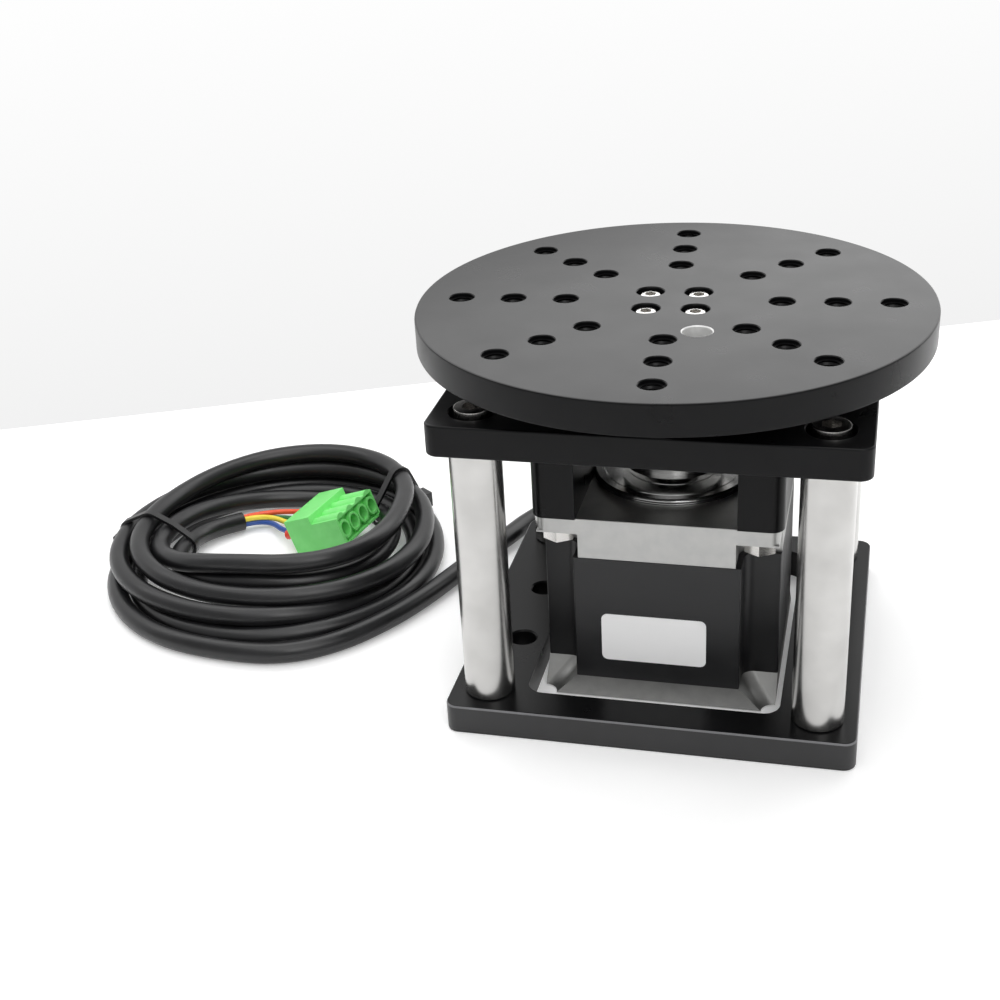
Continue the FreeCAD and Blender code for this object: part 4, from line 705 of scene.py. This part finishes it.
# Enamelled copper wire of 0.6 mm, wound side by side.
WINDING_WIRE = 0.6
copper_wire, tree, surface = surfaced("enamelled_copper_winding", "#ad5c36", "#ba683f", (0.26, 0.34), 1.0)
place = add(tree, "ShaderNodeTexCoord").outputs["Object"]
turns = add(tree, "ShaderNodeTexWave", {"bands_direction": "DIAGONAL"}, Vector=place,
            Scale=1 / (WINDING_WIRE * MM) / math.tau, Distortion=0.6)
wound = add(tree, "ShaderNodeBump", Height=turns.outputs["Fac"], Strength=0.6, Distance=0.2 * MM)
feed(tree, surface, Normal=wound.outputs[0])

inner_finishes = [
    (hub_aluminium, ["table_hub", "bearing_spacer", "bearing_retainer"]),
    (bare_aluminium, ["shaft_clamp"]),
    (stainless, ["clamp_screw", "retainer_screws", "motor_tie_screws", "wave_washer"]),
    (bearing_steel, ["motor_shaft"]),
    (rotor_iron, ["rotor_front_cup", "rotor_rear_cup"]),
    (magnet_black, ["rotor_magnet"]),
    (copper_wire, ["motor_windings"]),
    (cast_cap, ["motor_rear_cap"]),
]
for bearing in ("upper_bearing", "lower_bearing", "motor_front_bearing", "motor_rear_bearing"):
    inner_finishes.append((bearing_steel, [bearing + "_outer_ring", bearing + "_inner_ring", bearing + "_balls"]))
    inner_finishes.append((cage_steel, [bearing + "_cage"]))
for finish, names in inner_finishes:
    for name in names:
        nodes[name].data.materials.clear()
        nodes[name].data.materials.append(finish)

# Boot: moulded rubber on the motor's back, whose ribbed sleeve keeps the cable from
# bending sharply where it leaves.
BOOT_WIDTH = 11.0
BOOT_HEIGHT = 13.0
BOOT_CORNER = 2.0
BOOT_THICKNESS = 3.0
BOOT_PLATE = (15.0, 31.2, 9.5)
SLEEVE_PLACE = (15.0, 31.2, 11.5)
SLEEVE_RADIUS = 4.5
SLEEVE_TAPER = 0.2
SLEEVE_SUNK = 0.5
SLEEVE_END = (3.2, 10.0)
RIBS = 5
RIB_PITCH = 2.0
RIB_WIDTH = 1.2
GROOVE_DEPTH = 0.55
GROOVE_START = 1.4
GROOVE_END = 1.9

# Dull black rubber.
black_rubber = surfaced("black_rubber", "#161617", "#1d1d1e", (0.5, 0.6), grain=0.4, bump=0.2, relief=0.03)[0]

shape = bmesh.new()
raised(shape, outline(shape, BOOT_WIDTH, BOOT_HEIGHT, BOOT_CORNER, 0), BOOT_THICKNESS)
bmesh.ops.transform(shape, verts=shape.verts, matrix=Matrix.Translation(Vector(BOOT_PLATE) * MM)
                    @ Matrix.Rotation(math.pi / 2, 4, "X"))
sleeve = bmesh.new()
profile = [(0, -SLEEVE_SUNK), (SLEEVE_RADIUS, -SLEEVE_SUNK)]
for rib in range(RIBS):
    radius, start = SLEEVE_RADIUS - SLEEVE_TAPER * rib, RIB_PITCH * rib
    profile += [(radius, start), (radius, start + RIB_WIDTH), (radius - GROOVE_DEPTH, start + GROOVE_START),
                (radius - GROOVE_DEPTH, start + GROOVE_END)]
turned(sleeve, profile + [SLEEVE_END, (0, SLEEVE_END[1])], steps=48)
bmesh.ops.transform(sleeve, verts=sleeve.verts, matrix=Matrix.Translation(Vector(SLEEVE_PLACE) * MM)
                    @ Matrix.Rotation(-math.pi / 2, 4, "X"))
boot = finished("cable_boot", cut(shape, sleeve, "UNION"), frame_body, black_rubber)
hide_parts("cable_grommet")

# Cable: round PVC jacket over four wires. It leaves the boot, drops behind the base
# plate, comes round its corner, lies in five loose turns and ends at its wires.
CABLE_RADIUS = 2.75
CABLE_ROUTE = [
    (15.0, 41.2, 11.5),
    (15.0, 54.2, 11.5),
    (8.4, 66.1, 10.6),
    (-3.3, 74.6, 8.8),
    (-17.6, 76.9, 6.8),
    (-31.4, 72.4, 5.2),
    (-42.5, 64.0, 4.3),
    (-50.0, 54.0, 3.8),
    (-54.5, 43.0, 3.4),
    (-59.4, 32.3, 3.1),
    (-64.5, 20.0, 2.8),
    (-69.0, 8.0, 2.75),
    (-75.5, -5.0, 2.75),
    (-85.0, -18.0, 2.75),
    (-98.0, -26.5, 2.75),
]
CABLE_TAIL = [
    (-115.5, -3.6, 9.8),
    (-127.1, -2.8, 8.6),
    (-138.0, 3.4, 6.8),
    (-144.8, 13.2, 5.8),
    (-146.2, 24.6, 4.8),
    (-143.0, 34.6, 4.0),
    (-136.2, 41.2, 3.4),
]
COIL_CENTRE = (-115.5, 22.0)
# Each turn's radius and height over the front, the left, the back and the right.
COIL_LAYS = [
    [(47.0, 2.75), (46.5, 2.75), (47.5, 2.75), (41.8, 2.9)],
    [(41.2, 2.75), (40.9, 2.75), (41.9, 2.75), (36.2, 2.9)],
    [(38.2, 7.3), (46.7, 8.7), (46.5, 8.5), (39.2, 10.0)],
    [(32.7, 10.0), (40.6, 11.5), (47.4, 13.9), (31.4, 15.4)],
    [(24.4, 15.4), (35.4, 8.8), (36.2, 2.9), (29.6, 8.3)],
    [(24.8, 9.8)],
]
POINTS_PER_QUARTER = 4
# The spline runs inside the circle of its control points by this share of the radius.
HULL_SHARE = math.cos(math.tau / (4 * POINTS_PER_QUARTER) / 2) ** 2

# Extruded PVC: black, half glossy, with slight waves over about 8 mm.
black_jacket = surfaced("black_pvc_jacket", "#121213", "#18181a", (0.3, 0.42), bump=0.12)[0]


def coil_point(radius, height, quarter):
    """The point of the coil that lies this many quarter turns after its front."""
    angle = -math.pi / 2 * (1 + quarter)
    return (COIL_CENTRE[0] + radius * math.cos(angle), COIL_CENTRE[1] + radius * math.sin(angle), height)


def coil_points():
    """Control points that pass from station to station in smooth steps."""
    stations = [lay for turn in COIL_LAYS for lay in turn]
    points = []
    for index, (start, end) in enumerate(zip(stations, stations[1:])):
        for step in range(POINTS_PER_QUARTER):
            share = (1 - math.cos(math.pi * step / POINTS_PER_QUARTER)) / 2
            radius = (start[0] + (end[0] - start[0]) * share) / HULL_SHARE
            height = start[1] + (end[1] - start[1]) * share
            points.append(coil_point(radius, height, index + step / POINTS_PER_QUARTER))
    return points


def cord_curve(name, points, radius, finish):
    """A round cord along one open spline whose control points are the given ones, in mm."""
    data = bpy.data.curves.new(name, "CURVE")
    data.dimensions = "3D"
    data.bevel_depth = radius * MM
    data.bevel_resolution = 6
    data.use_fill_caps = True
    spline = data.splines.new("NURBS")
    spline.points.add(len(points) - 1)
    for point, (x, y, z) in zip(spline.points, points):
        point.co = (x * MM, y * MM, z * MM, 1)
    spline.order_u = 3
    spline.use_endpoint_u = True
    spline.resolution_u = 8
    data.materials.append(finish)
    curve = bpy.data.objects.new(name, data)
    bpy.context.collection.objects.link(curve)
    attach(curve, frame_body)
    return curve


cable = cord_curve("motor_cable", CABLE_ROUTE + coil_points() + CABLE_TAIL, CABLE_RADIUS, black_jacket)
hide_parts("cable_run", "cable_coil", "cable_tail")

# Terminal block: a moulded green plug of four poles, 5.08 mm apart, with screws below,
# wire entries in the rear half and round sockets in the lower front half.
POLE_PITCH = 5.08
BLOCK_WIDTH = 20.3
BLOCK_REAR = 9.3
BLOCK_PLUG = 9.2
BLOCK_LENGTH = BLOCK_REAR + BLOCK_PLUG
BLOCK_HEIGHT = 11.0
PLUG_TOP = 8.5
PLUG_WALL = 0.8
PLUG_ROOF = 0.6
HOLLOW_DEPTH = 1.8
BLOCK_EDGE = 0.25
RIDGE_RADIUS = 2.1
RIDGE_RISE = 0.8
TUBE_RADIUS = 2.35
TUBE_BORE = 1.75
TUBE_TALL = 1.18
TUBE_HEIGHT = 4.3
BORE_DEPTH = 7.0
SLOT_DEPTH = 3.0
SLOT_HALF = 0.35
SLOT_TOP = 1.7
ENTRY_HEIGHT = 6.2
ENTRY_HALF = 1.7
ENTRY_DEPTH = 5.0
SCREW_HOLE = 1.6
SCREW_TOP = 4.2
TEST_HOLE = 0.3
TEST_HOLE_PLACE = 0.9
FERRULE_RADIUS = 1.4
FERRULE_ENDS = (-2.6, 0.6)
poles = [(BLOCK_WIDTH - 3 * POLE_PITCH) / 2 + pole * POLE_PITCH for pole in range(4)]
BLOCK_CORNER = (-114.2, 29.0, 0)
BLOCK_TURN = -11
BLOCK_TILT = -21
block_place = (Matrix.Translation(Vector(BLOCK_CORNER) * MM) @ Matrix.Rotation(math.radians(BLOCK_TURN), 4, "Z")
               @ Matrix.Rotation(math.radians(BLOCK_TILT), 4, "Y"))

# Bright green, half matt: moulded in a spark-eroded tool with a grain of 0.2 mm.
green_plastic, tree, surface = surfaced("green_moulded_polyamide", "#78e076", "#82e680", (0.34, 0.42), grain=0.2,
                                        bump=0.15, patch=3.0)
feed(tree, surface, Subsurface_Weight=0.08, Subsurface_Radius=(0.001, 0.002, 0.001), Subsurface_Scale=0.5)
# Red nylon: the collar of the ferrule on one wire, smooth from the mould.
red_nylon = surfaced("red_nylon_ferrule", "#e2402c", "#ee4f38", (0.34, 0.42), grain=0.2, patch=2.0)[0]


def lying(shape, radius, start, end, y, z, tall=1.0):
    """A bar along the block's own length, whose section is higher than wide by a factor."""
    middle = (Matrix.Translation(((start + end) / 2 * MM, y * MM, z * MM)) @ Matrix.Diagonal((1, 1, tall, 1))
              @ Matrix.Rotation(math.pi / 2, 4, "Y"))
    bmesh.ops.create_cone(shape, cap_ends=True, segments=32, radius1=radius * MM, radius2=radius * MM,
                          depth=(end - start) * MM, matrix=middle)


def box(shape, low, high):
    """A plain box between two corners, in mm."""
    place = Matrix.Translation([(a + b) / 2 * MM for a, b in zip(low, high)])
    size = Matrix.Diagonal([(b - a) * MM for a, b in zip(low, high)] + [1])
    bmesh.ops.create_cube(shape, size=1, matrix=place @ size)


shape, plug = bmesh.new(), bmesh.new()
box(shape, (0, 0, 0), (BLOCK_REAR, BLOCK_WIDTH, BLOCK_HEIGHT))
box(plug, (BLOCK_REAR - 1, 0, 0), (BLOCK_LENGTH, BLOCK_WIDTH, PLUG_TOP))
shape = cut(shape, plug, "UNION")
bmesh.ops.dissolve_limit(shape, angle_limit=0.01, verts=shape.verts, edges=shape.edges)
bmesh.ops.bevel(shape, geom=[edge for edge in shape.edges if edge.calc_face_angle(0) > 1], affect="EDGES",
                offset=BLOCK_EDGE * MM, segments=2, profile=0.5, material=-1)
ridges = bmesh.new()
for y in poles:
    lying(ridges, RIDGE_RADIUS, BLOCK_REAR - 1, BLOCK_LENGTH, y, PLUG_TOP + RIDGE_RISE - RIDGE_RADIUS)
shape = cut(shape, ridges, "UNION")
# The plug's end is hollow round four oval tubes, which hold the contacts.
hollow, tubes = bmesh.new(), bmesh.new()
box(hollow, (BLOCK_LENGTH - HOLLOW_DEPTH, PLUG_WALL, PLUG_WALL),
    (BLOCK_LENGTH + PAST, BLOCK_WIDTH - PLUG_WALL, PLUG_TOP - PLUG_ROOF))
for y in poles:
    lying(tubes, TUBE_RADIUS, BLOCK_LENGTH - HOLLOW_DEPTH - PAST, BLOCK_LENGTH + 2 * PAST, y, TUBE_HEIGHT, TUBE_TALL)
shape = cut(shape, cut(hollow, tubes))
# Each pole has its bore, a slot below it, a wire entry, a screw hole and a test hole.
tools = bmesh.new()
for y in poles:
    lying(tools, TUBE_BORE, BLOCK_LENGTH - BORE_DEPTH, BLOCK_LENGTH + PAST, y, TUBE_HEIGHT, TUBE_TALL)
    box(tools, (BLOCK_LENGTH - SLOT_DEPTH, y - SLOT_HALF, -PAST), (BLOCK_LENGTH + PAST, y + SLOT_HALF, SLOT_TOP))
    box(tools, (-PAST, y - ENTRY_HALF, ENTRY_HEIGHT - ENTRY_HALF),
        (ENTRY_DEPTH, y + ENTRY_HALF, ENTRY_HEIGHT + ENTRY_HALF))
    turned(tools, [(0, -PAST), (SCREW_HOLE, -PAST), (SCREW_HOLE, SCREW_TOP), (0, SCREW_TOP)], BLOCK_REAR / 2, y,
           steps=32)
    low, high = BLOCK_HEIGHT - 1, BLOCK_HEIGHT + PAST
    turned(tools, [(0, low), (TEST_HOLE, low), (TEST_HOLE, high), (0, high)], TEST_HOLE_PLACE, y, steps=12)
shape = cut(shape, tools)
# The front pole's wire ends in a red ferrule, which stands out of its entry.
plastic_faces = len(shape.faces)
lying(shape, FERRULE_RADIUS, *FERRULE_ENDS, poles[0], ENTRY_HEIGHT)
for face in shape.faces[plastic_faces:]:
    face.material_index = 1
bmesh.ops.transform(shape, verts=shape.verts, matrix=block_place)
plug_piece = finished("terminal_block", shape, frame_body, green_plastic, red_nylon)
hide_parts("connector_body")

# The block's screws: slotted, turned from plated steel, one below each pole. Each clamps
# its pole's wire.
SCREW_BOTTOM = 1.2
SCREW_EDGE = 0.1
DRIVER_SLOT_HALF = 0.3
DRIVER_SLOT_TOP = 1.8

shape, tools = bmesh.new(), bmesh.new()
for y in poles:
    turned(shape, [(0, SCREW_BOTTOM), (SCREW_HOLE - SCREW_EDGE, SCREW_BOTTOM),
                   (SCREW_HOLE, SCREW_BOTTOM + SCREW_EDGE), (SCREW_HOLE, SCREW_TOP), (0, SCREW_TOP)],
           BLOCK_REAR / 2, y, steps=32)
    box(tools, (BLOCK_REAR / 2 - 2, y - DRIVER_SLOT_HALF, 0),
        (BLOCK_REAR / 2 + 2, y + DRIVER_SLOT_HALF, DRIVER_SLOT_TOP))
shape = cut(shape, tools)
bmesh.ops.transform(shape, verts=shape.verts, matrix=block_place)
block_screws = finished("terminal_screws", shape, frame_body, stainless)
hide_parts("connector_screws")

# Wires: four stranded wires in PVC of 1.6 mm, from the jacket's end to the block's entries.
# They leave the jacket two by two, in the order of the poles.
WIRE_RADIUS = 0.8
WIRE_STARTS = ((-1, -1), (-1, 1), (1, -1), (1, 1))
WIRE_HALFWAY = 0.4
WIRE_MOUTH = -2.5
# Smooth PVC: each wire in its own plain colour, half glossy.
WIRE_COLOURS = [("blue", "#2b4f9e", "#34589f"), ("yellow", "#e8d23a", "#f0dc4c"),
                ("green", "#1f6b35", "#28783e"), ("red", "#e2502c", "#ee5f38")]

jacket_end = Vector(CABLE_TAIL[-1])
heading = (jacket_end - Vector(CABLE_TAIL[-2])).normalized()
across = Vector((0, 0, 1)).cross(heading).normalized()
for (colour, dark, light), (side, rise), pole in zip(WIRE_COLOURS, WIRE_STARTS, poles):
    insulation = surfaced(colour + "_pvc_insulation", dark, light, (0.34, 0.42), grain=0.2, relief=0.01, patch=2.0)[0]
    start = jacket_end + across * side * WIRE_RADIUS + Vector((0, 0, rise * WIRE_RADIUS))
    mouth, entry = (block_place @ Vector((depth * MM, pole * MM, ENTRY_HEIGHT * MM)) / MM
                    for depth in (WIRE_MOUTH, ENTRY_DEPTH))
    points = [start, start + heading * (mouth - start).length * WIRE_HALFWAY, mouth, entry]
    wire = cord_curve("insulated_wire_" + colour, points, WIRE_RADIUS, insulation)
    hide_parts("wire_" + colour)

# Cable ties: black nylon straps round the coil, with their heads outside.
# They hold the five turns together at the left and at the right.
TIE_WIDTH = 2.2
TIE_THICKNESS = 0.8
TIE_SLACK = 0.15
TIE_HEAD = (3.5, 4.6, 4.6)
TIE_HEAD_BOTTOM = 2.4
TIE_HEAD_SUNK = 0.4
TIE_LOWEST = 0.02
# (radius, height) of the cable's tail where it passes through the left tie.
TAIL_STRAND = (30.4, 5.0)

# Moulded nylon: black with a soft shine.
black_nylon = surfaced("black_nylon", "#111112", "#19191a", (0.3, 0.4))[0]


def strands_at(quarter):
    """(radius, height) of every place where the cable passes one angle of the coil."""
    stations = [lay for turn in COIL_LAYS for lay in turn]
    passes = []
    while quarter < len(stations) - 1:
        start, end = stations[int(quarter)], stations[int(quarter) + 1]
        share = (1 - math.cos(math.pi * (quarter % 1))) / 2
        passes.append([a + (b - a) * share for a, b in zip(start, end)])
        quarter += 4
    return passes


def tie(name, node, degrees, inner_strands=()):
    """A strap round every strand at one angle of the coil, with its head outside: the
    space between two hulls of the strands, in a plane of (radius, height)."""
    angle = math.radians(degrees)
    outward = Vector((math.cos(angle), math.sin(angle), 0))
    place = Matrix((outward, Vector((0, 0, 1)), outward.cross(Vector((0, 0, 1))))).transposed().to_4x4()
    place = Matrix.Translation((COIL_CENTRE[0] * MM, COIL_CENTRE[1] * MM, 0)) @ place
    passes = strands_at((-degrees / 90 - 1) % 4) + list(inner_strands)
    hulls = []
    for margin, width in ((TIE_SLACK + TIE_THICKNESS, TIE_WIDTH), (TIE_SLACK, 2 * TIE_WIDTH)):
        shape = bmesh.new()
        for radius, height in passes:
            bmesh.ops.create_cone(shape, cap_ends=True, segments=48, radius1=(CABLE_RADIUS + margin) * MM,
                                  radius2=(CABLE_RADIUS + margin) * MM, depth=width * MM,
                                  matrix=Matrix.Translation((radius * MM, height * MM, 0)))
        hull = bmesh.ops.convex_hull(shape, input=shape.verts, use_existing_faces=False)
        inner = {item for item in hull["geom_interior"] + hull["geom_unused"] if isinstance(item, bmesh.types.BMVert)}
        bmesh.ops.delete(shape, geom=list(inner), context="VERTS")
        kept = set(hull["geom"])
        bmesh.ops.delete(shape, geom=[face for face in shape.faces if face not in kept], context="FACES")
        bmesh.ops.dissolve_limit(shape, angle_limit=0.01, verts=shape.verts, edges=shape.edges)
        hulls.append(shape)
    shape = cut(*hulls)
    reach = max(radius for radius, height in passes) + CABLE_RADIUS - TIE_HEAD_SUNK
    thick, tall, wide = TIE_HEAD
    box(shape, (reach, TIE_HEAD_BOTTOM, -wide / 2), (reach + thick, TIE_HEAD_BOTTOM + tall, wide / 2))
    for vert in shape.verts:
        vert.co.y = max(vert.co.y, TIE_LOWEST * MM)
    bmesh.ops.transform(shape, verts=shape.verts, matrix=place)
    strap = finished(name, shape, frame_body, black_nylon)
    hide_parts(node)


tie("left_tie", "cable_tie_left", 180, [TAIL_STRAND])
tie("right_tie", "cable_tie_right", 52)
